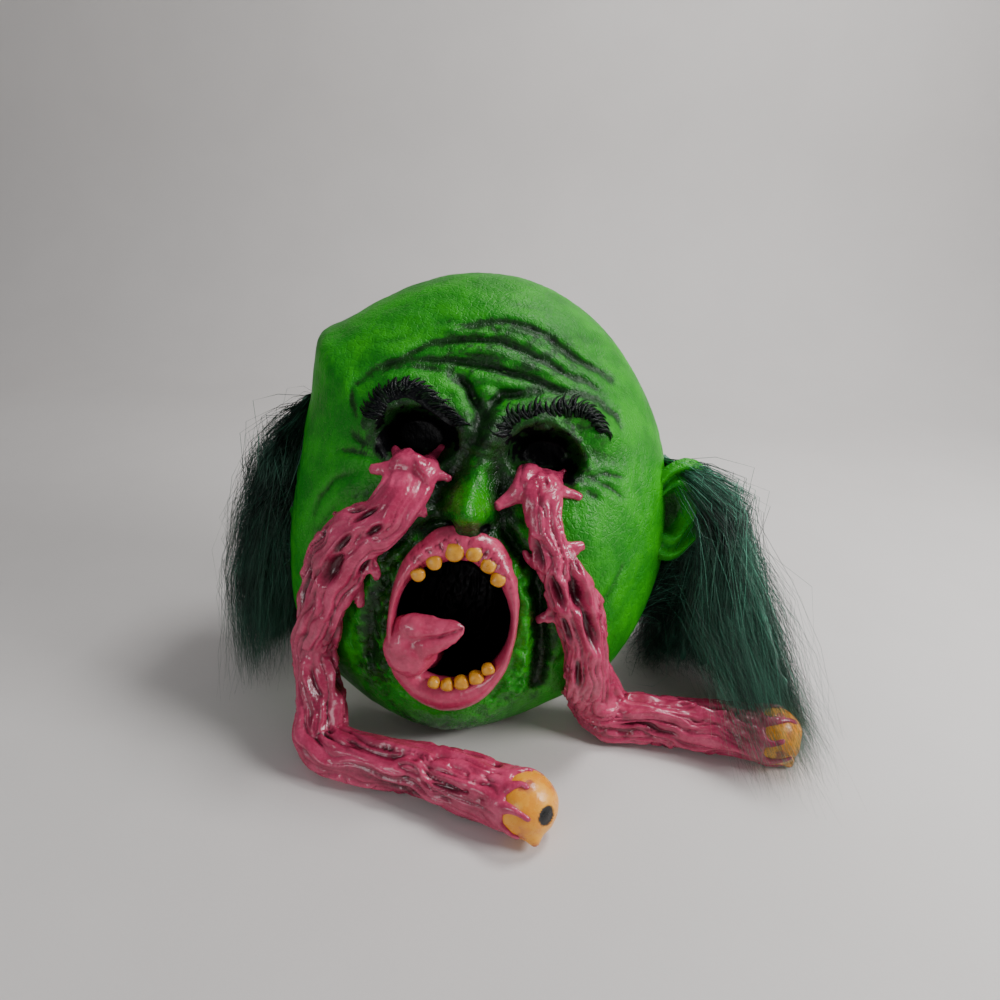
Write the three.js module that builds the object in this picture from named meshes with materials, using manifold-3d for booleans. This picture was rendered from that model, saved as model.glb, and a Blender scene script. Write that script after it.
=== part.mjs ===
import * as THREE from 'three';
import { mergeVertices } from 'three/addons/utils/BufferGeometryUtils.js';
import ManifoldModule from 'manifold-3d';

const wasm = await ManifoldModule();
wasm.setup();
const { Manifold, Mesh: ManifoldMesh } = wasm;

// The latex casting, in millimetres: x to the viewer's right, y to the back, z up.
const HALF_WIDTH = 115;
const HALF_HEIGHT = 134;
const DEPTH = 88;
const WALL = 2.5;
const GRID = 30;
const FACE_SPREAD = 0.24;
const SWING_EASE = 0.35;

// How it stands on the table, on its chin and leaning back.
const LEAN = THREE.MathUtils.degToRad(18);
const ROLL = THREE.MathUtils.degToRad(6);
const FACE_X = -15;
const FACE_Y = -5;
const FOOT_TRIM = 1;

// Clearance between separate pieces, and the table block that flattens what rests on it.
const GAP = 0.3;
const TABLE_SPAN = 900;

// Softness of each form: widths as shares of HALF_WIDTH or HALF_HEIGHT, and the band over which an
// oval form fades, as shares of the oval.
const NOSE_WIDTH = { bridge: 0.09, tip: 0.12 };
const NOSE_ENDS = { above: 0.11, below: 0.06 };
const NOSE_GROWTH = 1.3;
const SOFT = { wing: 0.06, brow: 0.09, cheek: 0.24, chin: 0.2, fold: 0.045, wrinkle: 0.04 };
const BAND = { muzzle: [0.7, 1.15], socket: [0.55, 1.2], mouth: [0.7, 1.12], sideWall: [0.8, 0.97] };

// Heights of the raised forms and depths of the sunk ones.
const NOSE_RISE = 25;
const NOSE_BRIDGE_RISE = 7;
const NOSE_WING_RISE = 7;
const BROW_RISE = 7;
const CHEEK_RISE = 5;
const MUZZLE_RISE = 8;
const CHIN_RISE = 5;
const SOCKET_DEPTH = 20;
const MOUTH_DEPTH = 38;
const FOLD_DEPTH = 6;
const WRINKLE_DEPTH = 3;

// Pieces on the face.
const LIP_DEPTH = 9;
const LIP_THICK = 9.5;
const LIP_THIN = 3;
const LIP_THINNING = 2;
const LIP_CLEAR = { sides: 0.7, ends: 0.85 };
const LIP_SUNK = 1 / 3;
const TOOTH_LIFT = 0.35;
const TOOTH_WIDTH = 7;
const TOOTH_HEIGHT = 8.5;
const TOOTH_DEPTH = 7;
const TONGUE_WIDTH = 24;
const TONGUE_THICK = 13;
const BROW_WIDTH = 5.5;
const BROW_THICK = 4;
const BROW_END = 0.6;
const EAR_HEIGHT = 88;
const EAR_REACH = 50;
const EAR_THICK = 12;
const EAR_DISH = 5;
const EAR_DISH_EASE = 1.2;

// Strands and eyeballs.
const EYE_RADIUS = 17;
const STRAND_WIDTH = 34;
const STRAND_THICK = 20;
const PRONG_RADIUS = 4.5;
const STRAND_LIFT = 0.35;
const STRAND_COLLAR = 0.5;
const STRAND_SEAT = 1 / 3;
const STRAND_TILT = 2;
const NEAR_RUN = 126;
const FAR_RUN = 103;

// Hair.
const LOCK_RADIUS = 9;
const STRIP_RADIUS = 6;
const LOCKS = 5;

// Facets.
const LIP_SECTIONS = 20;
const SIDES = { lips: 6, tongue: 8, brow: 6, strand: 8, prong: 4, strip: 6, lock: 5 };
const STEPS = { tongue: 8, brow: 9, strand: 18, prong: 2, strip: 6, lock: 5 };
const STRIP_STOPS = 4;
const FACETS = { ear: [14, 9], tooth: [7, 5], eyeball: [12, 9] };

// Step for slopes of the skin, and the search that finds a place on it.
const PROBE = 0.01;
const SEARCH = { spread: 1.4, rounds: 40, pace: 0.5 };

// Shape of the casting round its centre. Reach is a share of the oval of HALF_WIDTH and HALF_HEIGHT,
// depth a share of DEPTH, wrap the angle to which the side wall runs back, square how boxy it is.
const OUTLINE = [
  { turn: -90, reach: 0.79, depth: 0.5, wrap: 91, square: 2.2 },
  { turn: -60, reach: 0.81, depth: 0.68, wrap: 92, square: 2.2 },
  { turn: -30, reach: 0.96, depth: 0.9, wrap: 94, square: 2.2 },
  { turn: 0, reach: 1.04, depth: 1, wrap: 97, square: 2.2 },
  { turn: 30, reach: 1.11, depth: 1.02, wrap: 100, square: 2.2 },
  { turn: 60, reach: 1.21, depth: 1.05, wrap: 102, square: 2.2 },
  { turn: 90, reach: 1.31, depth: 1.08, wrap: 103, square: 2.2 },
  { turn: 112, reach: 1.32, depth: 1.08, wrap: 102, square: 2.3 },
  { turn: 130, reach: 1.36, depth: 1.06, wrap: 100, square: 2.6 },
  { turn: 145, reach: 1.17, depth: 1.04, wrap: 98, square: 2.8 },
  { turn: 160, reach: 1.06, depth: 1.02, wrap: 98, square: 2.8 },
  { turn: 185, reach: 1.01, depth: 0.98, wrap: 97, square: 2.6 },
  { turn: 210, reach: 1, depth: 0.9, wrap: 95, square: 2.4 },
  { turn: 240, reach: 0.87, depth: 0.66, wrap: 92, square: 2.2 },
];

// Places on the face: x as a share of HALF_WIDTH, h, the height over the centre, of HALF_HEIGHT.
const NOSE = { bridge: [0.01, 0.53], tip: [-0.03, 0.27], wings: [[-0.13, 0.23], [0.09, 0.24]] };
const CHIN = [-0.03, -0.73];
const CHEEKS = [[-0.5, 0.22], [0.5, 0.22]];
const MOUTH = { x: -0.04, h: -0.2, halfWidth: 0.275, halfHeight: 0.27 };
const MUZZLE = { x: -0.05, h: -0.2, halfWidth: 0.46, halfHeight: 0.5 };
const SOCKETS = [
  { x: -0.34, h: 0.52, halfWidth: 0.18, halfHeight: 0.11 },
  { x: 0.28, h: 0.52, halfWidth: 0.18, halfHeight: 0.1 },
];
const BROWS = {
  left: [[-0.56, 0.57], [-0.54, 0.63], [-0.48, 0.69], [-0.4, 0.71], [-0.31, 0.68], [-0.15, 0.6]],
  right: [[0.04, 0.58], [0.07, 0.65], [0.2, 0.69], [0.34, 0.73], [0.45, 0.73], [0.54, 0.66]],
};
const FOLDS = [
  [[-0.12, 0.24], [-0.2, 0.16], [-0.3, 0.05], [-0.37, -0.07], [-0.42, -0.24], [-0.41, -0.43]],
  [[0.09, 0.25], [0.18, 0.16], [0.27, 0.04], [0.32, -0.08], [0.38, -0.26], [0.42, -0.46]],
];
const WRINKLES = [
  [[-0.57, 0.79], [-0.31, 0.92], [-0.07, 1.04], [0.21, 1], [0.55, 0.9], [0.65, 0.8]],
  [[-0.68, 0.69], [-0.43, 0.82], [-0.09, 0.84], [0.12, 0.84], [0.37, 0.82], [0.61, 0.75]],
  [[-0.23, 0.82], [-0.15, 0.77], [-0.06, 0.62]],
  [[0.1, 0.75], [0.03, 0.73], [-0.03, 0.57]],
];

// Teeth: place on the lips and size as a share of a full tooth.
const UPPER_TEETH = [
  { x: -0.23, h: -0.01, size: 0.85 },
  { x: -0.165, h: 0.045, size: 0.9 },
  { x: -0.08, h: 0.095, size: 1.2 },
  { x: 0.01, h: 0.1, size: 1 },
  { x: 0.085, h: 0.06, size: 0.95 },
  { x: 0.14, h: 0.01, size: 0.9 },
];
const LOWER_TEETH = [
  { x: -0.085, h: -0.47, size: 0.75 },
  { x: -0.02, h: -0.47, size: 0.75 },
  { x: 0.045, h: -0.445, size: 0.85 },
  { x: 0.11, h: -0.415, size: 0.85 },
  { x: 0.16, h: -0.37, size: 0.75 },
];

// The tongue from root to tip. Sunk is its depth behind the lips as a share of MOUTH_DEPTH.
const TONGUE = [
  { x: -0.12, h: -0.38, sunk: 0.7, width: 0.9 },
  { x: -0.2, h: -0.37, sunk: 0.4, width: 1.1 },
  { x: -0.2, h: -0.31, sunk: 0.1, width: 1 },
  { x: -0.1, h: -0.24, sunk: 0, width: 0.6 },
  { x: 0, h: -0.2, sunk: 0.08, width: 0.3 },
];

// Strands. On the cheek, width is a share of STRAND_WIDTH and thick of STRAND_THICK. On the table,
// along is a share of the run from bend to eyeball, and side, lift, width and thick of STRAND_WIDTH.
const STRANDS = [
  {
    name: 'left',
    bend: [-0.84, -0.33],
    heading: -20,
    run: NEAR_RUN,
    cheek: [
      { x: -0.33, h: 0.42, width: 0.9, thick: 0.5 },
      { x: -0.36, h: 0.29, width: 0.8, thick: 0.65 },
      { x: -0.43, h: 0.17, width: 0.85, thick: 0.7 },
      { x: -0.56, h: 0.07, width: 1.05, thick: 0.8 },
      { x: -0.64, h: -0.05, width: 1.2, thick: 0.9 },
      { x: -0.68, h: -0.18, width: 1.05, thick: 1 },
      { x: -0.69, h: -0.32, width: 0.9, thick: 1.2 },
      { x: -0.71, h: -0.44, width: 0.85, thick: 1.3 },
    ],
    table: [
      { along: -0.03, side: 0.3, lift: 0.45, width: 0.9, thick: 0.75 },
      { along: 0.02, side: 0, lift: 0, width: 0.9, thick: 0.8 },
      { along: 0.22, side: -0.08, lift: -0.02, width: 0.85, thick: 0.85 },
      { along: 0.45, side: 0, lift: 0, width: 0.85, thick: 0.85 },
      { along: 0.7, side: 0.05, lift: 0, width: 0.95, thick: 0.9 },
    ],
    prongs: [
      { from: [-0.36, 0.37], to: [-0.52, 0.38] },
      { from: [-0.34, 0.39], to: [-0.43, 0.47] },
      { from: [-0.28, 0.39], to: [-0.21, 0.49] },
      { from: [-0.25, 0.4], to: [-0.16, 0.37] },
      { from: [-0.33, 0.27], to: [-0.25, 0.2] },
      { from: [-0.5, 0.08], to: [-0.68, 0.15] },
    ],
  },
  {
    name: 'right',
    bend: [0.59, 0.07],
    heading: -9,
    run: FAR_RUN,
    cheek: [
      { x: 0.26, h: 0.45, width: 1, thick: 0.5 },
      { x: 0.28, h: 0.36, width: 0.75, thick: 0.7 },
      { x: 0.3, h: 0.27, width: 0.65, thick: 0.8 },
      { x: 0.37, h: 0.15, width: 0.65, thick: 0.8 },
      { x: 0.47, h: 0.02, width: 0.85, thick: 0.9 },
      { x: 0.55, h: -0.11, width: 0.85, thick: 1 },
      { x: 0.62, h: -0.25, width: 0.8, thick: 1.1 },
      { x: 0.65, h: -0.36, width: 0.9, thick: 1.3 },
    ],
    table: [
      { along: -0.03, side: 0.02, lift: 0.4, width: 1, thick: 0.75 },
      { along: 0.06, side: 0, lift: 0, width: 0.95, thick: 0.8 },
      { along: 0.3, side: 0, lift: 0, width: 0.85, thick: 0.85 },
      { along: 0.65, side: 0.03, lift: 0, width: 0.95, thick: 0.9 },
    ],
    prongs: [
      { from: [0.24, 0.4], to: [0.1, 0.3] },
      { from: [0.3, 0.4], to: [0.45, 0.36] },
      { from: [0.4, 0.13], to: [0.52, 0.2] },
      { from: [0.3, 0.43], to: [0.4, 0.47] },
      { from: [0.22, 0.43], to: [0.12, 0.45] },
    ],
  },
];

// A prong at its root, middle and tip, as shares of PRONG_RADIUS.
const PRONG_ROWS = [
  { width: 1.6, thick: 1 },
  { width: 1, thick: 1 },
  { width: 0.5, thick: 0.6 },
];

const EARS = [
  { side: 1, x: 1.05 * HALF_WIDTH, back: 0.72 * DEPTH, h: 0.33 * HALF_HEIGHT, flare: 0.35 },
  { side: -1, x: -1.0 * HALF_WIDTH, back: 0.85 * DEPTH, h: 0.1 * HALF_HEIGHT, flare: 1.2 },
];

// Hair hangs from the side wall, from turn top to turn bottom, out on the way to its cut edge.
// It swells to the side and sets back by shares of LOCK_RADIUS. Tips are places on the table,
// x as a share of HALF_WIDTH and y of DEPTH.
const HAIR = [
  {
    name: 'left',
    side: -1,
    top: 143,
    bottom: 192,
    out: 0.93,
    swell: 1.2,
    setBack: 0,
    tips: [
      { x: -1.34, y: 0.28 },
      { x: -1.28, y: 0.6 },
      { x: -1.2, y: 0.95 },
      { x: -1.05, y: 1.2 },
    ],
  },
  {
    name: 'right',
    side: 1,
    top: 36,
    bottom: -14,
    out: 0.97,
    swell: 2,
    setBack: 2.3,
    tips: [
      { x: 1.72, y: -0.14 },
      { x: 1.62, y: 0.45 },
      { x: 1.35, y: 0.85 },
      { x: 1.05, y: 1.15 },
    ],
  },
];

// A lock from root to tip: way is how far down it is, width and thick are shares of LOCK_RADIUS,
// swell and setBack shares of those of its side, lift a share of LOCK_RADIUS.
const LOCK_ROWS = [
  { way: 0, width: 0.9, thick: 0.5, swell: 0, setBack: 0, lift: 0 },
  { way: 0.25, width: 1.3, thick: 0.8, swell: 1, setBack: 1, lift: 1 },
  { way: 0.65, width: 1.2, thick: 0.8, swell: 0.8, setBack: 0.4, lift: 0 },
  { way: 1, width: 0.6, thick: 0.45, swell: 0, setBack: 0, lift: 0 },
];
const LOCK_MARGIN = 0.02;
const STRIP_WIDTH = 1.3;

const UP = new THREE.Vector3(0, 0, 1);
const FORWARD = new THREE.Vector3(0, -1, 0);
const lean = new THREE.Matrix4().makeRotationX(-LEAN);
const roll = new THREE.Matrix4().makeRotationY(ROLL);
const standing = lean.multiply(roll);

function smooth(from, to, value) {
  return THREE.MathUtils.smoothstep(value, from, to);
}

// One column of the outline at any turn, as a smooth closed curve through its rows.
function around(column, turn) {
  const count = OUTLINE.length;
  const first = OUTLINE[0].turn;
  const wrapped = THREE.MathUtils.euclideanModulo(turn - first, 360) + first;
  const row = (index) => OUTLINE[THREE.MathUtils.euclideanModulo(index, count)];
  const angle = (index) => row(index).turn + 360 * Math.floor(index / count);
  let i = 0;
  while (i < count - 1 && angle(i + 1) <= wrapped) {
    i += 1;
  }
  const span = angle(i + 1) - angle(i);
  const t = (wrapped - angle(i)) / span;
  const slope = (index) => {
    const rise = row(index + 1)[column] - row(index - 1)[column];
    return (rise / (angle(index + 1) - angle(index - 1))) * span;
  };
  const h00 = 2 * t ** 3 - 3 * t ** 2 + 1;
  const h10 = t ** 3 - 2 * t ** 2 + t;
  const h11 = t ** 3 - t ** 2;
  return h00 * row(i)[column] + h10 * slope(i) + (1 - h00) * row(i + 1)[column] + h11 * slope(i + 1);
}

// Shortest way from a place on the face to a line of places, all in millimetres.
function lineDistance(x, h, line) {
  let best = Infinity;
  for (let i = 0; i < line.length - 1; i += 1) {
    const [ax, ah] = [line[i][0] * HALF_WIDTH, line[i][1] * HALF_HEIGHT];
    const [bx, bh] = [line[i + 1][0] * HALF_WIDTH, line[i + 1][1] * HALF_HEIGHT];
    const along = ((x - ax) * (bx - ax) + (h - ah) * (bh - ah)) / ((bx - ax) ** 2 + (bh - ah) ** 2);
    const t = THREE.MathUtils.clamp(along, 0, 1);
    best = Math.min(best, Math.hypot(x - ax - t * (bx - ax), h - ah - t * (bh - ah)));
  }
  return best;
}

function bell(distance, width) {
  return Math.exp(-((distance / width) ** 2));
}

function placeDistance(x, h, place) {
  return Math.hypot(x - place[0] * HALF_WIDTH, h - place[1] * HALF_HEIGHT);
}

// How far out a place is from an oval's centre: 1 on its edge.
function ovalShare(x, h, oval) {
  const across = (x / HALF_WIDTH - oval.x) / oval.halfWidth;
  const up = (h / HALF_HEIGHT - oval.h) / oval.halfHeight;
  return Math.hypot(across, up);
}

function noseRise(x, h) {
  const [bridgeX, bridgeH] = [NOSE.bridge[0] * HALF_WIDTH, NOSE.bridge[1] * HALF_HEIGHT];
  const [tipX, tipH] = [NOSE.tip[0] * HALF_WIDTH, NOSE.tip[1] * HALF_HEIGHT];
  const along = (h - bridgeH) / (tipH - bridgeH);
  const t = THREE.MathUtils.clamp(along, 0, 1);
  const side = x - THREE.MathUtils.lerp(bridgeX, tipX, t);
  const past = Math.max(along - 1, -along, 0) * Math.abs(tipH - bridgeH);
  const noseWidth = THREE.MathUtils.lerp(NOSE_WIDTH.bridge, NOSE_WIDTH.tip, t) * HALF_WIDTH;
  const ridge = THREE.MathUtils.lerp(NOSE_BRIDGE_RISE, NOSE_RISE, t ** NOSE_GROWTH);
  const ends = (along > 1 ? NOSE_ENDS.below : NOSE_ENDS.above) * HALF_HEIGHT;
  let rise = ridge * bell(side, noseWidth) * bell(past, ends);
  for (const wing of NOSE.wings) {
    rise += NOSE_WING_RISE * bell(placeDistance(x, h, wing), SOFT.wing * HALF_WIDTH);
  }
  return rise;
}

// Forward rise of the face over its smooth form; sunk forms are negative.
function relief(x, h) {
  let rise = noseRise(x, h);
  for (const line of Object.values(BROWS)) {
    rise += BROW_RISE * bell(lineDistance(x, h, line), SOFT.brow * HALF_WIDTH);
  }
  for (const cheek of CHEEKS) {
    rise += CHEEK_RISE * bell(placeDistance(x, h, cheek), SOFT.cheek * HALF_WIDTH);
  }
  rise += CHIN_RISE * bell(placeDistance(x, h, CHIN), SOFT.chin * HALF_WIDTH);
  rise += MUZZLE_RISE * (1 - smooth(...BAND.muzzle, ovalShare(x, h, MUZZLE)));
  for (const line of FOLDS) {
    rise -= FOLD_DEPTH * bell(lineDistance(x, h, line), SOFT.fold * HALF_WIDTH);
  }
  for (const line of WRINKLES) {
    rise -= WRINKLE_DEPTH * bell(lineDistance(x, h, line), SOFT.wrinkle * HALF_WIDTH);
  }
  for (const socket of SOCKETS) {
    rise -= SOCKET_DEPTH * (1 - smooth(...BAND.socket, ovalShare(x, h, socket)));
  }
  rise -= MOUTH_DEPTH * (1 - smooth(...BAND.mouth, ovalShare(x, h, MOUTH)));
  return rise;
}

// A point of the front skin in the face's own frame, from a place in the round -1 to 1:
// its centre is the middle of the face and its edge the cut edge of the side wall.
function skinPoint(u, v) {
  const out = Math.hypot(u, v);
  const angle = Math.atan2(v, u);
  const turn = THREE.MathUtils.radToDeg(angle);
  const oval = 1 / Math.hypot(Math.cos(angle) / HALF_WIDTH, Math.sin(angle) / HALF_HEIGHT);
  const reach = oval * around('reach', turn);
  const depth = DEPTH * around('depth', turn);
  const wrap = THREE.MathUtils.degToRad(around('wrap', turn));
  const power = 2 / around('square', turn);
  const swing = wrap * ((1 - SWING_EASE) * out + SWING_EASE * out ** 3);
  const radius = reach * Math.sin(swing) ** power;
  const cosine = Math.cos(swing);
  const x = radius * Math.cos(angle);
  const h = radius * Math.sin(angle);
  const back = depth - depth * Math.sign(cosine) * Math.abs(cosine) ** power;
  const fade = 1 - smooth(...BAND.sideWall, out);
  return new THREE.Vector3(x, back - relief(x, h) * fade, h);
}

// The outward direction of the skin at the same place.
function skinNormal(u, v) {
  const across = skinPoint(u + PROBE, v).sub(skinPoint(u - PROBE, v));
  const up = skinPoint(u, v + PROBE).sub(skinPoint(u, v - PROBE));
  return across.cross(up).normalize();
}

// The grid is a square pressed into the round, with its lines closer together on the face.
function gridPlace(i, j) {
  const spread = (index) => {
    const t = (2 * index) / GRID - 1;
    return t * (1 - FACE_SPREAD + FACE_SPREAD * t * t);
  };
  const [a, b] = [spread(i), spread(j)];
  return [a * Math.sqrt(1 - (b * b) / 2), b * Math.sqrt(1 - (a * a) / 2)];
}

// The chin is FOOT_TRIM below the table before the table block flattens it.
function standingHeight() {
  let lowest = Infinity;
  for (let i = 0; i <= GRID; i += 1) {
    const point = skinPoint(...gridPlace(i, 0)).applyMatrix4(standing);
    lowest = Math.min(lowest, point.z);
  }
  return -lowest - FOOT_TRIM;
}

const faceCentre = new THREE.Vector3(FACE_X, FACE_Y, standingHeight());

function toTable(point) {
  return point.applyMatrix4(standing).add(faceCentre);
}

function skinGrid(offset) {
  const points = [];
  for (let j = 0; j <= GRID; j += 1) {
    for (let i = 0; i <= GRID; i += 1) {
      const place = gridPlace(i, j);
      points.push(toTable(skinPoint(...place).addScaledVector(skinNormal(...place), offset)));
    }
  }
  return points;
}

function gridFaces(start, flip) {
  const faces = [];
  const row = GRID + 1;
  for (let j = 0; j < GRID; j += 1) {
    for (let i = 0; i < GRID; i += 1) {
      const corner = start + j * row + i;
      const quad = [corner, corner + 1, corner + row + 1, corner + row];
      const order = flip ? [0, 2, 1, 0, 3, 2] : [0, 1, 2, 0, 2, 3];
      faces.push(...order.map((index) => quad[index]));
    }
  }
  return faces;
}

// The edge of the grid, once round, counterclockwise from the front.
function gridEdge() {
  const row = GRID + 1;
  const edge = [];
  for (let i = 0; i < GRID; i += 1) {
    edge.push(i);
  }
  for (let j = 0; j < GRID; j += 1) {
    edge.push(j * row + GRID);
  }
  for (let i = GRID; i > 0; i -= 1) {
    edge.push(GRID * row + i);
  }
  for (let j = GRID; j > 0; j -= 1) {
    edge.push(j * row);
  }
  return edge;
}

function solidOf(points, faces) {
  const vertProperties = new Float32Array(points.flatMap((point) => [point.x, point.y, point.z]));
  return new Manifold(new ManifoldMesh({ numProp: 3, vertProperties, triVerts: new Uint32Array(faces) }));
}

function facingOut(points, faces) {
  const solid = solidOf(points, faces);
  return solid.volume() < 0 ? solidOf(points, faces.reverse()) : solid;
}

// The largest body of a solid, with any pocket sealed inside it filled.
function mainBody(solid) {
  return solid.decompose().reduce((best, body) => (body.volume() > best.volume() ? body : best));
}

function solidOfGeometry(geometry) {
  const bare = new THREE.BufferGeometry();
  bare.setAttribute('position', geometry.getAttribute('position'));
  bare.setIndex(geometry.getIndex());
  const merged = mergeVertices(bare, 1e-4);
  const position = merged.getAttribute('position');
  const points = [];
  for (let i = 0; i < position.count; i += 1) {
    points.push(new THREE.Vector3().fromBufferAttribute(position, i));
  }
  const faces = [];
  const index = merged.getIndex().array;
  for (let i = 0; i < index.length; i += 3) {
    const corners = [index[i], index[i + 1], index[i + 2]];
    if (new Set(corners).size === 3) {
      faces.push(...corners);
    }
  }
  return solidOf(points, faces);
}

// The hollow wall: the skin, the same skin set back by WALL, and the cut edge between them.
function wallSolid() {
  const points = [...skinGrid(0), ...skinGrid(-WALL)];
  const inner = (GRID + 1) ** 2;
  const faces = [...gridFaces(0, false), ...gridFaces(inner, true)];
  const edge = gridEdge();
  edge.forEach((corner, i) => {
    const next = edge[(i + 1) % edge.length];
    faces.push(corner, corner + inner, next + inner, corner, next + inner, next);
  });
  return solidOf(points, faces);
}

// Everything behind the skin, closed across the open back.
function bulkSolid(offset) {
  const points = skinGrid(offset);
  const edge = gridEdge();
  const centre = new THREE.Vector3();
  edge.forEach((corner) => centre.add(points[corner]));
  points.push(centre.divideScalar(edge.length));
  const faces = gridFaces(0, false);
  edge.forEach((corner, i) => {
    faces.push(corner, points.length - 1, edge[(i + 1) % edge.length]);
  });
  return solidOf(points, faces);
}

// The place in the round whose skin point has a given x and h, in shares.
function findPlace(x, h) {
  let [u, v] = [x / SEARCH.spread, h / SEARCH.spread];
  for (let round = 0; round < SEARCH.rounds; round += 1) {
    const point = skinPoint(u, v);
    u += SEARCH.pace * (x - point.x / HALF_WIDTH);
    v += SEARCH.pace * (h - point.z / HALF_HEIGHT);
    const out = Math.max(1, Math.hypot(u, v));
    [u, v] = [u / out, v / out];
  }
  return [u, v];
}

const faceForward = FORWARD.clone().transformDirection(standing);

function onFace(x, h, lift = 0) {
  return toTable(skinPoint(...findPlace(x, h))).addScaledVector(faceForward, lift);
}

function faceNormal(x, h) {
  return skinNormal(...findPlace(x, h)).transformDirection(standing);
}

// A point on the plane of the lips, as if the mouth were closed over.
function onMouthPlane(x, h, lift = 0) {
  return onFace(x, h, MUZZLE_RISE - relief(x * HALF_WIDTH, h * HALF_HEIGHT) + lift);
}

// A point of the side wall, by its turn, and how far out it is on the way to the cut edge.
function onSide(turn, out, lift) {
  const angle = THREE.MathUtils.degToRad(turn);
  const place = [out * Math.cos(angle), out * Math.sin(angle)];
  return toTable(skinPoint(...place).addScaledVector(skinNormal(...place), lift));
}

// A closed tube of oval sections. Each section has a centre, a direction for its thickness,
// a half-width and a half-thickness.
function sweepSolid(sections, sides, steps) {
  const path = new THREE.CatmullRomCurve3(sections.map((section) => section.centre), false, 'centripetal');
  const points = [];
  const last = sections.length - 1;
  for (let step = 0; step <= steps; step += 1) {
    const t = step / steps;
    const place = t * last;
    const i = Math.min(Math.floor(place), last - 1);
    const share = place - i;
    const centre = path.getPoint(t);
    const tangent = path.getTangent(t);
    const thick = sections[i].normal.clone().lerp(sections[i + 1].normal, share);
    const wide = new THREE.Vector3().crossVectors(tangent, thick).normalize();
    thick.crossVectors(wide, tangent).normalize();
    const halfWidth = THREE.MathUtils.lerp(sections[i].width, sections[i + 1].width, share);
    const halfThick = THREE.MathUtils.lerp(sections[i].thick, sections[i + 1].thick, share);
    for (let side = 0; side < sides; side += 1) {
      const angle = (2 * Math.PI * side) / sides;
      const point = centre.clone().addScaledVector(wide, halfWidth * Math.cos(angle));
      points.push(point.addScaledVector(thick, halfThick * Math.sin(angle)));
    }
  }
  const faces = [];
  for (let step = 0; step < steps; step += 1) {
    for (let side = 0; side < sides; side += 1) {
      const next = (side + 1) % sides;
      const [near, far] = [step * sides, (step + 1) * sides];
      faces.push(near + side, near + next, far + next, near + side, far + next, far + side);
    }
  }
  points.push(sections[0].centre.clone(), sections[last].centre.clone());
  for (let side = 0; side < sides; side += 1) {
    const next = (side + 1) % sides;
    faces.push(points.length - 2, next, side);
    faces.push(points.length - 1, steps * sides + side, steps * sides + next);
  }
  return facingOut(points, faces);
}

const skinBulk = bulkSolid(GAP);
const cavityBulk = bulkSolid(-WALL);
const tableGeometry = new THREE.BoxGeometry(TABLE_SPAN, TABLE_SPAN, TABLE_SPAN);
tableGeometry.translate(0, 0, -TABLE_SPAN / 2);
const table = solidOfGeometry(tableGeometry);

// An ear is a dished oval plate that grows out of the side wall.
function earSolid(ear, grow) {
  const geometry = new THREE.SphereGeometry(1, ...FACETS.ear);
  const position = geometry.getAttribute('position');
  for (let i = 0; i < position.count; i += 1) {
    const point = new THREE.Vector3().fromBufferAttribute(position, i);
    const dish = point.y < 0 ? EAR_DISH * (1 - point.x ** 2 - point.z ** 2) : 0;
    const thick = EAR_THICK / 2 + grow;
    point.set(
      point.x * (EAR_REACH / 2 + grow),
      point.y * thick + Math.min(dish, thick) * EAR_DISH_EASE,
      point.z * (EAR_HEIGHT / 2 + grow),
    );
    point.applyAxisAngle(UP, ear.side * ear.flare).add(new THREE.Vector3(ear.x, ear.back, ear.h));
    position.setXYZ(i, ...toTable(point).toArray());
  }
  return solidOfGeometry(geometry);
}

function maskShell() {
  let shell = wallSolid();
  for (const ear of EARS) {
    shell = shell.add(earSolid(ear, 0).subtract(cavityBulk));
  }
  return shell.subtract(table);
}

// A closed ring of oval sections, each with a centre, an outward direction and a half-width.
function ringOf(sections, front, halfDepth, sides) {
  const points = [];
  const faces = [];
  sections.forEach((section, i) => {
    for (let side = 0; side < sides; side += 1) {
      const swing = (2 * Math.PI * side) / sides;
      const point = section.centre.clone().addScaledVector(section.out, section.half * Math.cos(swing));
      points.push(point.addScaledVector(front, halfDepth * Math.sin(swing)));
      const next = (side + 1) % sides;
      const [near, far] = [i * sides, ((i + 1) % sections.length) * sides];
      faces.push(near + side, far + next, near + next, near + side, far + side, far + next);
    }
  });
  return facingOut(points, faces);
}

// The lips are one ring, thick above and below and thin at the sides.
function lipRing() {
  const count = LIP_SECTIONS;
  const middle = onMouthPlane(MOUTH.x, MOUTH.h);
  const sections = [];
  for (let i = 0; i < count; i += 1) {
    const angle = (2 * Math.PI * i) / count;
    const tall = Math.abs(Math.sin(angle)) ** LIP_THINNING;
    const half = THREE.MathUtils.lerp(LIP_THIN, LIP_THICK, tall);
    const x = MOUTH.x + (MOUTH.halfWidth + (LIP_CLEAR.sides * half) / HALF_WIDTH) * Math.cos(angle);
    const h = MOUTH.h + (MOUTH.halfHeight + (LIP_CLEAR.ends * half) / HALF_HEIGHT) * Math.sin(angle);
    const centre = onMouthPlane(x, h, -LIP_SUNK * LIP_DEPTH);
    const out = centre.clone().sub(middle);
    out.addScaledVector(faceForward, -out.dot(faceForward)).normalize();
    sections.push({ centre, out, half });
  }
  return ringOf(sections, faceForward, LIP_DEPTH, SIDES.lips);
}

function toothSolid(tooth, grow) {
  const geometry = new THREE.SphereGeometry(1, ...FACETS.tooth);
  const size = tooth.size;
  geometry.scale(
    (TOOTH_WIDTH * size) / 2 + grow,
    TOOTH_DEPTH / 2 + grow,
    (TOOTH_HEIGHT * size) / 2 + grow,
  );
  const centre = onMouthPlane(tooth.x, tooth.h, TOOTH_LIFT * LIP_DEPTH);
  geometry.applyMatrix4(standing.clone().setPosition(centre));
  return solidOfGeometry(geometry);
}

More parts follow.
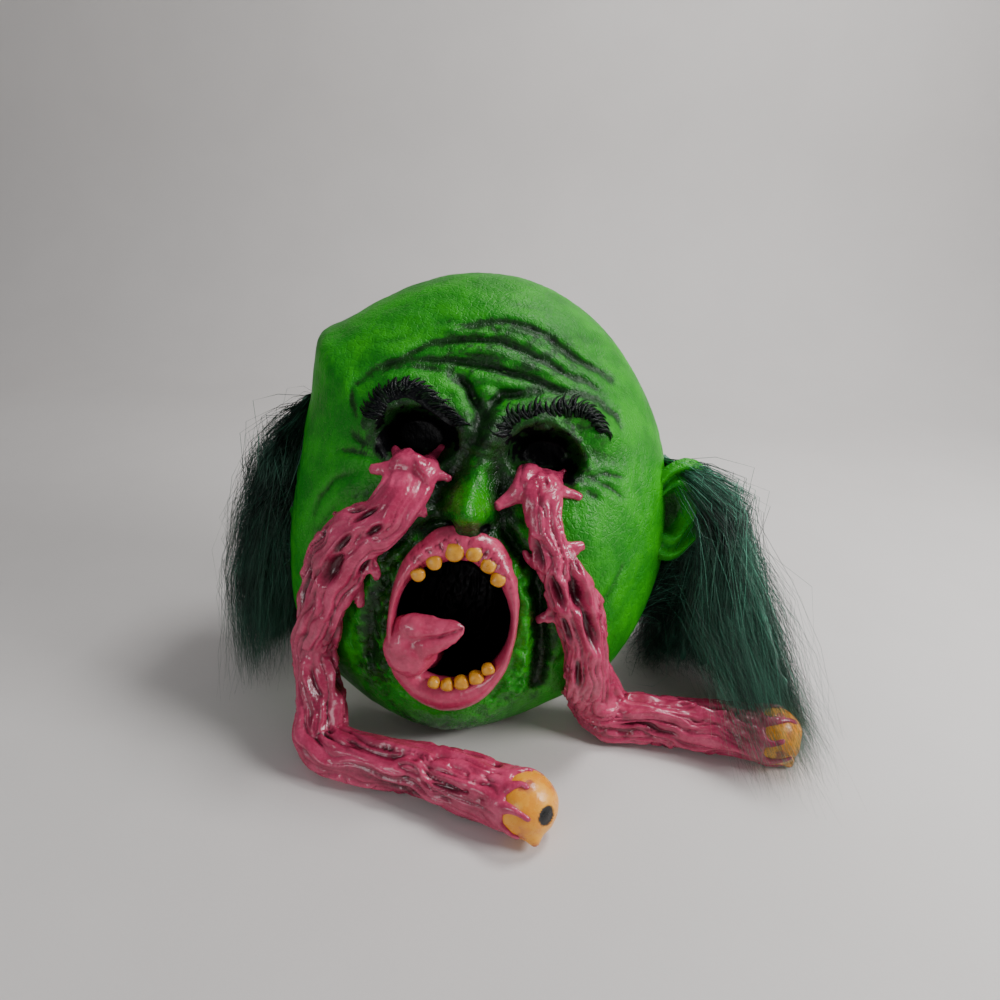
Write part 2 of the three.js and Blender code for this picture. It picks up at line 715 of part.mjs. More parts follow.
// The tongue comes from the back of the mouth, lies on the lower lip and curls to one side.
function tongueSolid(grow) {
  const sections = TONGUE.map((row) => ({
    centre: onMouthPlane(row.x, row.h, -row.sunk * MOUTH_DEPTH),
    normal: faceForward.clone(),
    width: (row.width * TONGUE_WIDTH) / 2 + grow,
    thick: TONGUE_THICK / 2 + grow,
  }));
  return sweepSolid(sections, SIDES.tongue, STEPS.tongue);
}

function browSolid(line) {
  const last = line.length - 1;
  const sections = line.map(([x, h], i) => ({
    centre: onFace(x, h, BROW_THICK / 4),
    normal: faceNormal(x, h),
    width: BROW_WIDTH * (i === 0 || i === last ? BROW_END : 1),
    thick: BROW_THICK,
  }));
  return sweepSolid(sections, SIDES.brow, STEPS.brow);
}

// Where a strand's eyeball lies on the table, and the way along its run.
function strandEnd(strand) {
  const angle = THREE.MathUtils.degToRad(strand.heading);
  const along = new THREE.Vector3(Math.cos(angle), Math.sin(angle), 0);
  const bend = new THREE.Vector3(strand.bend[0] * HALF_WIDTH, strand.bend[1] * DEPTH, 0);
  const eye = bend.clone().addScaledVector(along, strand.run).setZ(EYE_RADIUS - FOOT_TRIM / 2);
  return { bend, along, eye };
}

function eyeballSolid(strand, grow) {
  const geometry = new THREE.SphereGeometry(EYE_RADIUS + grow, ...FACETS.eyeball);
  geometry.translate(...strandEnd(strand).eye.toArray());
  return solidOfGeometry(geometry);
}

// A strand clings to the cheek, drops off the jaw, bends on the table and runs to its eyeball.
function strandSolid(strand) {
  const { bend, along, eye } = strandEnd(strand);
  const sections = strand.cheek.map((row) => ({
    centre: onFace(row.x, row.h, STRAND_LIFT * row.thick * STRAND_THICK),
    normal: faceNormal(row.x, row.h),
    width: (row.width * STRAND_WIDTH) / 2,
    thick: (row.thick * STRAND_THICK) / 2,
  }));
  const sideways = new THREE.Vector3().crossVectors(UP, along);
  for (const row of strand.table) {
    const width = (row.width * STRAND_WIDTH) / 2;
    const thick = (row.thick * STRAND_WIDTH) / 2;
    const centre = bend.clone().addScaledVector(along, row.along * strand.run);
    centre.addScaledVector(sideways, row.side * STRAND_WIDTH);
    centre.z = thick - FOOT_TRIM + row.lift * STRAND_WIDTH;
    const normal = UP.clone().addScaledVector(FORWARD, row.lift > 0 ? STRAND_TILT : 0).normalize();
    sections.push({ centre, normal, width, thick });
  }
  const end = eye.clone().addScaledVector(along, -STRAND_SEAT * EYE_RADIUS);
  sections.push({ centre: end, normal: UP, width: EYE_RADIUS + STRAND_COLLAR, thick: EYE_RADIUS });
  let solid = sweepSolid(sections, SIDES.strand, STEPS.strand);
  for (const prong of strand.prongs) {
    const root = onFace(prong.from[0], prong.from[1], PRONG_RADIUS);
    const tip = onFace(prong.to[0], prong.to[1], PRONG_RADIUS / 4);
    const normal = faceNormal(...prong.from);
    const middle = root.clone().lerp(tip, 0.5).addScaledVector(faceForward, PRONG_RADIUS / 4);
    const centres = [root, middle, tip];
    const rows = PRONG_ROWS.map((row, i) => ({
      centre: centres[i],
      normal,
      width: row.width * PRONG_RADIUS,
      thick: row.thick * PRONG_RADIUS,
    }));
    solid = solid.add(sweepSolid(rows, SIDES.prong, STEPS.prong));
  }
  return mainBody(solid.subtract(skinBulk).subtract(eyeballSolid(strand, GAP)).subtract(table));
}

// Hair: locks fused to a strip that runs along the side wall just inside its cut edge.
function hairSolid(hair) {
  const out = new THREE.Vector3(hair.side, 0, 0);
  const stripRows = [];
  for (let i = 0; i <= STRIP_STOPS; i += 1) {
    const turn = THREE.MathUtils.lerp(hair.top, hair.bottom, i / STRIP_STOPS);
    const centre = onSide(turn, hair.out, STRIP_RADIUS / 2);
    stripRows.push({ centre, normal: out, width: STRIP_RADIUS * STRIP_WIDTH, thick: STRIP_RADIUS });
  }
  let solid = sweepSolid(stripRows, SIDES.strip, STEPS.strip);
  for (let i = 0; i < LOCKS; i += 1) {
    const share = i / (LOCKS - 1);
    const inset = THREE.MathUtils.lerp(LOCK_MARGIN, 1 - LOCK_MARGIN, share);
    const root = onSide(THREE.MathUtils.lerp(hair.top, hair.bottom, inset), hair.out, STRIP_RADIUS);
    const place = share * (hair.tips.length - 1);
    const from = Math.min(Math.floor(place), hair.tips.length - 2);
    const tipX = THREE.MathUtils.lerp(hair.tips[from].x, hair.tips[from + 1].x, place - from);
    const tipY = THREE.MathUtils.lerp(hair.tips[from].y, hair.tips[from + 1].y, place - from);
    const tip = new THREE.Vector3(tipX * HALF_WIDTH, tipY * DEPTH, -FOOT_TRIM);
    const rows = LOCK_ROWS.map((row) => {
      const centre = root.clone().lerp(tip, row.way);
      centre.addScaledVector(out, row.swell * hair.swell * LOCK_RADIUS);
      centre.addScaledVector(FORWARD, -row.setBack * hair.setBack * LOCK_RADIUS);
      centre.addScaledVector(UP, row.lift * LOCK_RADIUS);
      return { centre, normal: out, width: row.width * LOCK_RADIUS, thick: row.thick * LOCK_RADIUS };
    });
    solid = solid.add(sweepSolid(rows, SIDES.lock, STEPS.lock));
  }
  for (const ear of EARS) {
    solid = solid.subtract(earSolid(ear, GAP));
  }
  for (const strand of STRANDS) {
    solid = solid.subtract(eyeballSolid(strand, GAP));
  }
  return mainBody(solid.subtract(skinBulk).subtract(table));
}

const group = new THREE.Group();

function addMesh(name, solid, color, roughness) {
  const mesh = solid.getMesh();
  const geometry = new THREE.BufferGeometry();
  geometry.setAttribute('position', new THREE.BufferAttribute(mesh.vertProperties, mesh.numProp));
  geometry.setIndex(new THREE.BufferAttribute(mesh.triVerts, 1));
  geometry.computeVertexNormals();
  const material = new THREE.MeshStandardMaterial({ color, roughness, metalness: 0 });
  const part = new THREE.Mesh(geometry, material);
  part.name = name;
  group.add(part);
}

const LATEX_GREEN = 0x35a11f;
const FLESH_PINK = 0xb5456b;
const TOOTH_YELLOW = 0xe59a2c;
const BRISTLE_BLACK = 0x101312;
const HAIR_GREEN = 0x12362c;

addMesh('mask_shell', maskShell(), LATEX_GREEN, 0.5);

let lips = lipRing().subtract(skinBulk).subtract(tongueSolid(GAP));
UPPER_TEETH.forEach((tooth, i) => {
  lips = lips.subtract(toothSolid(tooth, GAP));
  addMesh(`upper_tooth_${i + 1}`, toothSolid(tooth, 0).subtract(skinBulk), TOOTH_YELLOW, 0.35);
});
LOWER_TEETH.forEach((tooth, i) => {
  lips = lips.subtract(toothSolid(tooth, GAP));
  addMesh(`lower_tooth_${i + 1}`, toothSolid(tooth, 0).subtract(skinBulk), TOOTH_YELLOW, 0.35);
});
addMesh('lip_ring', lips, FLESH_PINK, 0.3);
addMesh('tongue', tongueSolid(0).subtract(skinBulk), FLESH_PINK, 0.25);

for (const [name, line] of Object.entries(BROWS)) {
  addMesh(`eyebrow_${name}`, browSolid(line).subtract(skinBulk), BRISTLE_BLACK, 0.6);
}
for (const strand of STRANDS) {
  addMesh(`eye_strand_${strand.name}`, strandSolid(strand), FLESH_PINK, 0.3);
  addMesh(`eyeball_${strand.name}`, eyeballSolid(strand, 0).subtract(table), TOOTH_YELLOW, 0.3);
}
for (const hair of HAIR) {
  addMesh(`hair_${hair.name}`, hairSolid(hair), HAIR_GREEN, 0.7);
}

// The part's frame has its origin under the middle of everything, on the table.
const bounds = new THREE.Box3().setFromObject(group);
const middle = bounds.getCenter(new THREE.Vector3());
group.position.set(-middle.x, -middle.y, -bounds.min.z);

export default group;
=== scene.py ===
import math
import bpy
import numpy as np
from mathutils import Matrix, Vector, noise
from mathutils.kdtree import KDTree


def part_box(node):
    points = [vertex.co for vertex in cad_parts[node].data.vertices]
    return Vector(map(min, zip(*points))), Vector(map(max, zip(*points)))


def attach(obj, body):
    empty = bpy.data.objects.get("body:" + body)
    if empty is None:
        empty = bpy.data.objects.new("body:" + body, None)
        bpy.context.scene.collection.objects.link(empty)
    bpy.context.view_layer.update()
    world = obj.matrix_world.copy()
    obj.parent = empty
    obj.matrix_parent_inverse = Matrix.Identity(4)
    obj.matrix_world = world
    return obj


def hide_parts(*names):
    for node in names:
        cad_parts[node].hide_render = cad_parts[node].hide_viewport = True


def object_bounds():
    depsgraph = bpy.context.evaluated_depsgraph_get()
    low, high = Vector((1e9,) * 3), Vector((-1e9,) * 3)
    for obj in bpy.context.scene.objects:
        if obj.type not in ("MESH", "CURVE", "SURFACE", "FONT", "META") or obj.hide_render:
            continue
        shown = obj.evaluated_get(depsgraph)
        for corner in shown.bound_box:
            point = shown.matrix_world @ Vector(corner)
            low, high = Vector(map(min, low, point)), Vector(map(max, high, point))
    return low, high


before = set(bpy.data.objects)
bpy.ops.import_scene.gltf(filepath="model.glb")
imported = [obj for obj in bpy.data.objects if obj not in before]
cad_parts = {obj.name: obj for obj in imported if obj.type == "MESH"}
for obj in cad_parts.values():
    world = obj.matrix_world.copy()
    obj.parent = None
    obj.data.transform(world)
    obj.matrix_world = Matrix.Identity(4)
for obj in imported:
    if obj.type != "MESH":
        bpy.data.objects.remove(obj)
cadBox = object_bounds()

mm = 0.001
chance = np.random.default_rng(31)


def table(columns, rows):
    return [dict(zip(columns.split(), row)) for row in rows]


# The latex casting in millimetres: x to the viewer's right, y to the back, h up the face.
casting = {
    "halfWidth": 115, "halfHeight": 134, "depth": 88, "wall": 3.0,
    "lean": 18, "roll": 6, "x": -15, "y": -5, "footTrim": 1,
    "footCuts": 30, "outerCuts": 288, "innerCuts": 96,
}
halfWidth, halfHeight = casting["halfWidth"], casting["halfHeight"]
faceSize = np.array([halfWidth, halfHeight])

# Round the face: turn and wrap in degrees, reach and depth as shares of the oval's and the casting's,
# square the power that squares off the side wall.
outlineRows = table("turn reach depth wrap square", [
    (-90, 0.79, 0.5, 91, 2.2),
    (-60, 0.81, 0.68, 92, 2.2),
    (-30, 0.96, 0.9, 94, 2.2),
    (0, 1.04, 1, 97, 2.2),
    (30, 1.11, 1.02, 100, 2.2),
    (60, 1.21, 1.05, 102, 2.2),
    (90, 1.31, 1.08, 103, 2.2),
    (112, 1.315, 1.08, 102, 2.3),
    (122, 1.315, 1.07, 101, 2.5),
    (128, 1.325, 1.06, 100, 2.6),
    (133.5, 1.35, 1.05, 100, 2.7),
    (138, 1.265, 1.04, 99, 2.8),
    (145, 1.17, 1.04, 98, 2.8),
    (160, 1.06, 1.02, 98, 2.8),
    (185, 1.01, 0.98, 97, 2.6),
    (210, 1, 0.9, 95, 2.4),
    (240, 0.87, 0.66, 92, 2.2),
])

# Places on the face are (x, h) as shares of halfWidth and halfHeight from its centre.
face = {
    "bridge": (-0.02, 0.53), "tip": (-0.05, 0.275), "wings": [(-0.125, 0.235), (0.055, 0.245)],
    "noseRise": 13, "ballRise": 11, "bridgeRise": 7, "wingRise": 4.5,
    "nostrils": [(-0.115, 0.195), (0.04, 0.205)], "nostrilDepth": 7,
    "chin": (-0.03, -0.73), "chinRise": 5,
    "cheeks": [(-0.5, 0.22), (0.5, 0.22)], "cheekRise": 5,
    "mouth": {"x": -0.04, "h": -0.2, "across": 0.275, "up": 0.27}, "mouthDepth": 38,
    "muzzle": {"x": -0.05, "h": -0.2, "across": 0.46, "up": 0.5}, "muzzleRise": 8,
    "sockets": [
        {"x": -0.34, "h": 0.52, "across": 0.18, "up": 0.11},
        {"x": 0.28, "h": 0.52, "across": 0.18, "up": 0.1},
    ],
    "socketDepth": 20, "browRise": 7, "foldDepth": 6,
    # Half widths of the forms, as shares of halfWidth.
    "bridgeHalf": 0.05, "tipHalf": 0.072, "ballHalf": 0.094, "wingHalf": 0.06,
    "browHalf": 0.09, "cheekHalf": 0.24, "chinHalf": 0.2, "foldHalf": 0.045,
    "folds": [
        [(-0.12, 0.24), (-0.2, 0.16), (-0.3, 0.05), (-0.37, -0.07), (-0.42, -0.24), (-0.41, -0.43)],
        [(0.09, 0.25), (0.18, 0.16), (0.27, 0.04), (0.32, -0.08), (0.38, -0.26), (0.42, -0.46)],
    ],
}

browLines = {
    "left": [(-0.56, 0.57), (-0.54, 0.63), (-0.48, 0.69), (-0.4, 0.71), (-0.31, 0.68), (-0.15, 0.6)],
    "right": [(0.04, 0.58), (0.07, 0.65), (0.2, 0.69), (0.34, 0.73), (0.45, 0.73), (0.54, 0.66)],
}

# Sculpted grooves: depth and width in millimetres, rim the share of the depth that swells beside it,
# aside the millimetres below to fainter copies of the line.
grooves = table("depth width rim aside line", [
    (2.6, 2.4, 0.8, (5.2, -5.6), [(-0.22, 0.99), (-0.13, 1.03), (-0.01, 1.05), (0.11, 1.04), (0.22, 1.0),
     (0.31, 0.96), (0.44, 0.92), (0.56, 0.88)]),
    (2.8, 2.3, 0.8, (4.6,), [(-0.55, 0.79), (-0.47, 0.84), (-0.38, 0.89), (-0.28, 0.92), (-0.19, 0.95),
     (-0.1, 0.96), (-0.01, 0.96), (0.09, 0.94), (0.18, 0.92), (0.28, 0.89)]),
    (3.4, 2.5, 0.8, (5.4, -4.8), [(-0.67, 0.7), (-0.61, 0.76), (-0.52, 0.8), (-0.42, 0.83), (-0.31, 0.84),
     (-0.2, 0.85), (-0.09, 0.85), (0.01, 0.84), (0.1, 0.84), (0.17, 0.82), (0.25, 0.8), (0.38, 0.8),
     (0.5, 0.78), (0.59, 0.74), (0.63, 0.68)]),
    (1.8, 2.0, 0.6, (), [(-0.6, 0.73), (-0.53, 0.77), (-0.42, 0.8), (-0.33, 0.8), (-0.25, 0.8)]),
    (2.2, 2.2, 0.7, (), [(0.23, 0.9), (0.32, 0.87), (0.42, 0.85), (0.52, 0.81)]),
    (1.6, 1.8, 0.6, (), [(-0.1, 1.0), (0.02, 1.0), (0.14, 0.98), (0.24, 0.95)]),
    (4.6, 3.0, 0.6, (), [(-0.23, 0.8), (-0.17, 0.78), (-0.11, 0.73), (-0.08, 0.68), (-0.06, 0.62),
     (-0.06, 0.55)]),
    (4.6, 3.0, 0.6, (), [(0.18, 0.77), (0.09, 0.76), (0.02, 0.74), (-0.01, 0.7), (-0.03, 0.65),
     (-0.04, 0.57)]),
    (1.5, 1.7, 0.6, (), [(0.49, 0.46), (0.58, 0.48), (0.68, 0.48)]),
    (1.5, 1.7, 0.6, (), [(0.51, 0.45), (0.6, 0.43), (0.69, 0.39)]),
    (1.2, 1.6, 0.6, (), [(0.49, 0.41), (0.56, 0.38)]),
    (1.4, 1.7, 0.6, (), [(-0.52, 0.45), (-0.59, 0.46), (-0.66, 0.5)]),
    (1.4, 1.7, 0.6, (), [(-0.53, 0.41), (-0.63, 0.42), (-0.72, 0.41)]),
    (1.2, 1.6, 0.6, (), [(-0.64, 0.55), (-0.69, 0.62), (-0.7, 0.7)]),
    (1.6, 2.6, 0.8, (), [(-0.6, 0.34), (-0.7, 0.3), (-0.78, 0.2), (-0.8, 0.06)]),
    (1.3, 2.4, 0.8, (), [(-0.68, 0.2), (-0.76, 0.06), (-0.79, -0.1)]),
    (2.0, 1.8, 0.8, (), [(0.34, 0.57), (0.39, 0.52), (0.45, 0.48), (0.51, 0.45)]),
    (2.0, 1.8, 0.8, (), [(0.33, 0.53), (0.39, 0.48), (0.46, 0.45)]),
    (2.2, 2.0, 0.9, (), [(0.12, 0.57), (0.16, 0.61), (0.25, 0.65), (0.33, 0.62), (0.39, 0.56),
     (0.46, 0.51)]),
    (1.8, 1.8, 0.6, (), [(-0.1, 0.53), (-0.03, 0.52), (0.05, 0.52)]),
    (1.6, 1.7, 0.6, (), [(-0.1, 0.49), (-0.03, 0.485), (0.04, 0.49)]),
    (3.2, 4.0, 0.0, (), [(-0.14, 0.42), (-0.18, 0.34), (-0.2, 0.26), (-0.18, 0.2)]),
    (3.2, 4.0, 0.0, (), [(0.05, 0.46), (0.08, 0.37), (0.1, 0.3), (0.11, 0.24)]),
    (3.6, 3.0, 0.7, (), [(-0.13, 0.2), (-0.25, 0.17), (-0.32, 0.12), (-0.38, 0.07), (-0.41, 0.01)]),
    (5.0, 3.4, 0.7, (), [(0.07, 0.21), (0.16, 0.17), (0.24, 0.12), (0.31, 0.06), (0.35, -0.03),
     (0.38, -0.15), (0.42, -0.27), (0.44, -0.42)]),
    (1.4, 2.0, 0.7, (), [(0.75, 0.1), (0.68, -0.05), (0.6, -0.2), (0.5, -0.36)]),
    (1.2, 2.0, 0.7, (), [(-0.3, -0.66), (-0.15, -0.76), (0.02, -0.79), (0.18, -0.74)]),
])

# Raised ridges, rise and width in millimetres: blobby round the lips, plain at the eyelids.
ridges = table("rise width lumpy line", [
    (3.4, 4.5, 1.7, [(-0.3, 0.14), (-0.35, 0.03), (-0.38, -0.09), (-0.38, -0.2), (-0.37, -0.32),
     (-0.34, -0.44), (-0.27, -0.55), (-0.17, -0.63)]),
    (3.6, 4.5, 1.7, [(0.13, 0.19), (0.22, 0.11), (0.28, 0.01), (0.32, -0.12), (0.34, -0.24),
     (0.32, -0.38), (0.27, -0.49), (0.18, -0.58)]),
    (2.4, 3.4, 1.7, [(0.2, -0.66), (0.3, -0.56), (0.37, -0.44), (0.4, -0.3)]),
    (2.2, 3.2, 1.2, [(-0.3, -0.69), (-0.4, -0.56), (-0.46, -0.4)]),
    (3.6, 4.2, 0.2, [(0.13, 0.62), (0.22, 0.66), (0.32, 0.64), (0.39, 0.58), (0.44, 0.52)]),
    (2.6, 3.4, 0.4, [(-0.52, 0.6), (-0.45, 0.645), (-0.36, 0.655), (-0.27, 0.62)]),
    (2.4, 2.6, 0.5, [(0.38, 0.47), (0.44, 0.44), (0.47, 0.4)]),
    (1.6, 3.0, 0.4, [(-0.5, 0.42), (-0.44, 0.36), (-0.38, 0.33)]),
])

# Dark spots, part airbrushed paint and part painted shade under and beside the nose, at the chin and beside the
# strands: place, radius in millimetres across and up, strength.
airbrushAndShade = table("at across up strength", [
    ((-0.35, 0.53), 25, 17, 0.55),
    ((0.26, 0.54), 25, 17, 0.55),
    ((-0.03, 0.58), 7, 15, 0.6),
    ((-0.04, 0.19), 17, 6, 0.8),
    ((-0.17, 0.33), 8, 19, 0.7),
    ((0.1, 0.36), 6, 19, 0.6),
    ((0.16, 0.25), 8, 12, 0.45),
    ((-0.24, 0.2), 10, 9, 0.4),
    ((-0.33, 0.1), 18, 8, 0.55),
    ((0.22, 0.12), 15, 8, 0.55),
    ((-0.36, -0.1), 7, 22, 0.35),
    ((0.36, -0.06), 6, 18, 0.65),
    ((0.42, -0.3), 6, 30, 0.7),
    ((-0.44, -0.22), 11, 30, 0.6),
    ((0.0, -0.72), 36, 9, 0.36),
    ((-0.54, 0.25), 13, 9, 0.35),
    ((-0.38, -0.46), 9, 18, 0.55),
    ((0.14, 1.02), 30, 6, 0.35),
    ((0.05, 0.9), 48, 11, 0.3),
    ((-0.72, -0.35), 16, 30, 0.25),
])

# The ragged black of each socket, in shares like the places above.
darkSockets = table("x h across up", [
    (-0.34, 0.53, 0.185, 0.1),
    (-0.47, 0.5, 0.06, 0.075),
    (-0.23, 0.55, 0.09, 0.075),
    (0.255, 0.545, 0.155, 0.082),
    (0.39, 0.475, 0.06, 0.045),
])


def smoothStep(low, high, value):
    t = np.clip((value - low) / (high - low), 0, 1)
    return t * t * (3 - 2 * t)


def bell(distance, width):
    return np.exp(-(distance / width) ** 2)


def blend(start, end, share):
    return start + (end - start) * share


def unit(vectors):
    return vectors / np.linalg.norm(vectors, axis=-1, keepdims=True)


def noiseAt(points, size, octaves=3, shift=0.0):
    offset = Vector((shift, 0.37 * shift, 0.61 * shift))
    scaled = np.asarray(points, float) / size
    return np.array([noise.fractal(Vector(p) + offset, 1, 2, octaves) for p in scaled])


def around(column, turn):
    turns = np.array([row["turn"] for row in outlineRows], float)
    values = np.array([row[column] for row in outlineRows], float)
    count = len(turns)
    wrapped = (turn - turns[0]) % 360 + turns[0]
    i = np.searchsorted(turns, wrapped, side="right") - 1
    angleOf = lambda k: turns[k % count] + 360 * (k // count)
    span = angleOf(i + 1) - angleOf(i)
    t = (wrapped - angleOf(i)) / span
    valueOf = lambda k: values[k % count]
    slopeOf = lambda k: (valueOf(k + 1) - valueOf(k - 1)) / (angleOf(k + 1) - angleOf(k - 1)) * span
    ease = 2 * t ** 3 - 3 * t ** 2 + 1
    leave = t ** 3 - 2 * t ** 2 + t
    arrive = t ** 3 - t ** 2
    return ease * values[i] + leave * slopeOf(i) + (1 - ease) * valueOf(i + 1) + arrive * slopeOf(i + 1)


def alongLine(x, h, line):
    stops = np.array(line) * faceSize
    best = np.full(np.shape(x), 1e9)
    share = np.zeros(np.shape(x))
    for i in range(len(stops) - 1):
        step = stops[i + 1] - stops[i]
        t = np.clip(((x - stops[i][0]) * step[0] + (h - stops[i][1]) * step[1]) / (step @ step), 0, 1)
        distance = np.hypot(x - stops[i][0] - t * step[0], h - stops[i][1] - t * step[1])
        share = np.where(distance < best, (i + t) / (len(stops) - 1), share)
        best = np.minimum(best, distance)
    return best, share


def fromPlace(x, h, place):
    return np.hypot(x - place[0] * halfWidth, h - place[1] * halfHeight)


def ovalShare(x, h, oval):
    return np.hypot((x / halfWidth - oval["x"]) / oval["across"],
                    (h / halfHeight - oval["h"]) / oval["up"])


def noseShape(x, h):
    bridge, tip = face["bridge"] * faceSize, face["tip"] * faceSize
    along = (h - bridge[1]) / (tip[1] - bridge[1])
    t = np.clip(along, 0, 1)
    side = x - blend(bridge[0], tip[0], t)
    past = np.maximum(np.maximum(along - 1, -along), 0) * abs(tip[1] - bridge[1])
    width = blend(face["bridgeHalf"], face["tipHalf"], t) * halfWidth
    ridge = blend(face["bridgeRise"], face["noseRise"], t ** 1.6)
    rise = ridge * bell(side, width) * bell(past, np.where(along > 1, 0.065, 0.11) * halfHeight)
    rise = rise + face["ballRise"] * bell(fromPlace(x, h, face["tip"]), face["ballHalf"] * halfWidth)
    for wing in face["wings"]:
        rise = rise + face["wingRise"] * bell(fromPlace(x, h, wing), face["wingHalf"] * halfWidth)
    return rise


def relief(x, h):
    rise = noseShape(x, h)
    for line in browLines.values():
        rise = rise + face["browRise"] * bell(alongLine(x, h, line)[0], face["browHalf"] * halfWidth)
    for cheek in face["cheeks"]:
        rise = rise + face["cheekRise"] * bell(fromPlace(x, h, cheek), face["cheekHalf"] * halfWidth)
    rise = rise + face["chinRise"] * bell(fromPlace(x, h, face["chin"]), face["chinHalf"] * halfWidth)
    rise = rise + face["muzzleRise"] * (1 - smoothStep(0.7, 1.15, ovalShare(x, h, face["muzzle"])))
    for line in face["folds"]:
        rise = rise - face["foldDepth"] * bell(alongLine(x, h, line)[0], face["foldHalf"] * halfWidth)
    for socket in face["sockets"]:
        rise = rise - face["socketDepth"] * (1 - smoothStep(0.55, 1.2, ovalShare(x, h, socket)))
    return rise - face["mouthDepth"] * (1 - smoothStep(0.7, 1.12, ovalShare(x, h, face["mouth"])))


# How far the carving strays and how strong its finer parts are, in millimetres.
carve = {
    "stray": 1.5, "strayOver": 19, "rim": 0.75, "aside": 0.34, "lumpSize": 6.5, "nostril": 3.6,
    "crinkle": 0.5, "crinkleSize": 8.5, "furrow": 2.2, "furrowSize": 5.2, "gather": 4.5, "gatherSize": 5.5,
    "crease": 0.55, "creaseSize": 9, "swell": 0.9, "swellSize": 34,
}


def wander(x, h):
    points = np.stack([x, h, 0 * x], axis=-1)
    return [carve["stray"] * noiseAt(points, carve["strayOver"], 2, seed) for seed in (3.1, 8.7)]


def carving(x, h):
    dx, dh = wander(x, h)
    wx, wh = x + dx, h + dh
    flat = np.stack([x, h, 0 * x], axis=-1)
    lumps = noiseAt(flat, carve["lumpSize"], 2, 1.3)
    rise = np.zeros(np.shape(x))
    for groove in grooves:
        distance, share = alongLine(wx, wh, groove["line"])
        taper = np.sin(np.pi * np.clip(share, 0.03, 0.97)) ** 0.45
        beside = bell(distance - 2.3 * groove["width"], 1.5 * groove["width"])
        cut = carve["rim"] * groove["rim"] * beside - bell(distance, groove["width"])
        rise = rise + groove["depth"] * taper * cut
        for aside in groove["aside"]:
            beyond, place = alongLine(wx, wh + aside, groove["line"])
            fading = np.sin(np.pi * np.clip(1.3 * place - 0.15, 0.02, 0.98))
            rise = rise - carve["aside"] * groove["depth"] * fading * bell(beyond, 0.5 * groove["width"])
    for ridge in ridges:
        distance, share = alongLine(wx, wh, ridge["line"])
        taper = np.sin(np.pi * np.clip(share, 0.04, 0.96)) ** 0.5
        rise = rise + ridge["rise"] * taper * bell(distance, ridge["width"]) * (1 + ridge["lumpy"] * lumps)
    for nostril in face["nostrils"]:
        rise = rise - face["nostrilDepth"] * bell(fromPlace(x, h, nostril), carve["nostril"])
    muzzle = ovalShare(x, h, face["muzzle"])
    crinkleZone = smoothStep(0.5, 0.8, muzzle) * (1 - smoothStep(1.15, 1.5, muzzle))
    underEyes = sum(bell(fromPlace(x, h, (s["x"], s["h"] - 0.14)), 18) for s in face["sockets"])
    onNose = bell(fromPlace(x, h, face["tip"]), 21) + bell(fromPlace(x, h, face["bridge"]), 14)
    zone = np.clip(crinkleZone + 0.4 * underEyes, 0, 1) * (1 - np.clip(onNose, 0, 1))
    crinkle = 1 - np.abs(noiseAt(flat * (1, 0.7, 1), carve["crinkleSize"], 2, 5.2)) * 3.2
    brow = bell(h - 0.86 * halfHeight, 34) * bell(x, 75)
    arched = np.stack([wx * 0.16, wh + 0.0016 * wx ** 2, 0 * x], axis=-1)
    furrow = noiseAt(arched, carve["furrowSize"], 2, 15.3)
    rise = rise + carve["crinkle"] * zone * (crinkle - 0.5) + carve["furrow"] * brow * furrow
    mouthIn = 1 - smoothStep(0.75, 1.0, ovalShare(x, h, face["mouth"]))
    gathers = np.abs(noiseAt(np.stack([x, h * 0.28, 0 * x], axis=-1), carve["gatherSize"], 3, 12.4))
    return rise - carve["gather"] * mouthIn * gathers


def smoothSkin(u, v):
    out = np.hypot(u, v)
    angle = np.arctan2(v, u)
    turn = np.degrees(angle)
    oval = 1 / np.hypot(np.cos(angle) / halfWidth, np.sin(angle) / halfHeight)
    reach = oval * around("reach", turn)
    depth = casting["depth"] * around("depth", turn)
    power = 2 / around("square", turn)
    swing = np.radians(around("wrap", turn)) * (0.65 * out + 0.35 * out ** 3)
    radius = reach * np.abs(np.sin(swing)) ** power
    cosine = np.cos(swing)
    back = depth - depth * np.sign(cosine) * np.abs(cosine) ** power
    fade = 1 - smoothStep(0.8, 0.97, out)
    return np.stack([radius * np.cos(angle), back, radius * np.sin(angle)], axis=-1), fade


def sculptedSkin(u, v, fine=True):
    points, fade = smoothSkin(u, v)
    rise = relief(points[..., 0], points[..., 2])
    if fine:
        rise = rise + carving(points[..., 0], points[..., 2])
    points[..., 1] -= rise * fade
    return points


def skinNormal(u, v, step=0.01):
    across = sculptedSkin(u + step, v, False) - sculptedSkin(u - step, v, False)
    up = sculptedSkin(u, v + step, False) - sculptedSkin(u, v - step, False)
    return unit(np.cross(across, up))


def pressed(x, y):
    a, b = x * (0.76 + 0.24 * x * x), y * (0.76 + 0.24 * y * y)
    return a * np.sqrt(1 - b * b / 2), b * np.sqrt(1 - a * a / 2)


standing = np.array(Matrix.Rotation(-math.radians(casting["lean"]), 3, "X") @
                    Matrix.Rotation(math.radians(casting["roll"]), 3, "Y"))
footEdge = np.linspace(-1, 1, casting["footCuts"] + 1)
chinEdge = smoothSkin(*pressed(footEdge, -np.ones(len(footEdge))))[0] @ standing.T
faceCentre = np.array([casting["x"], casting["y"], -chinEdge[:, 2].min() - casting["footTrim"]])

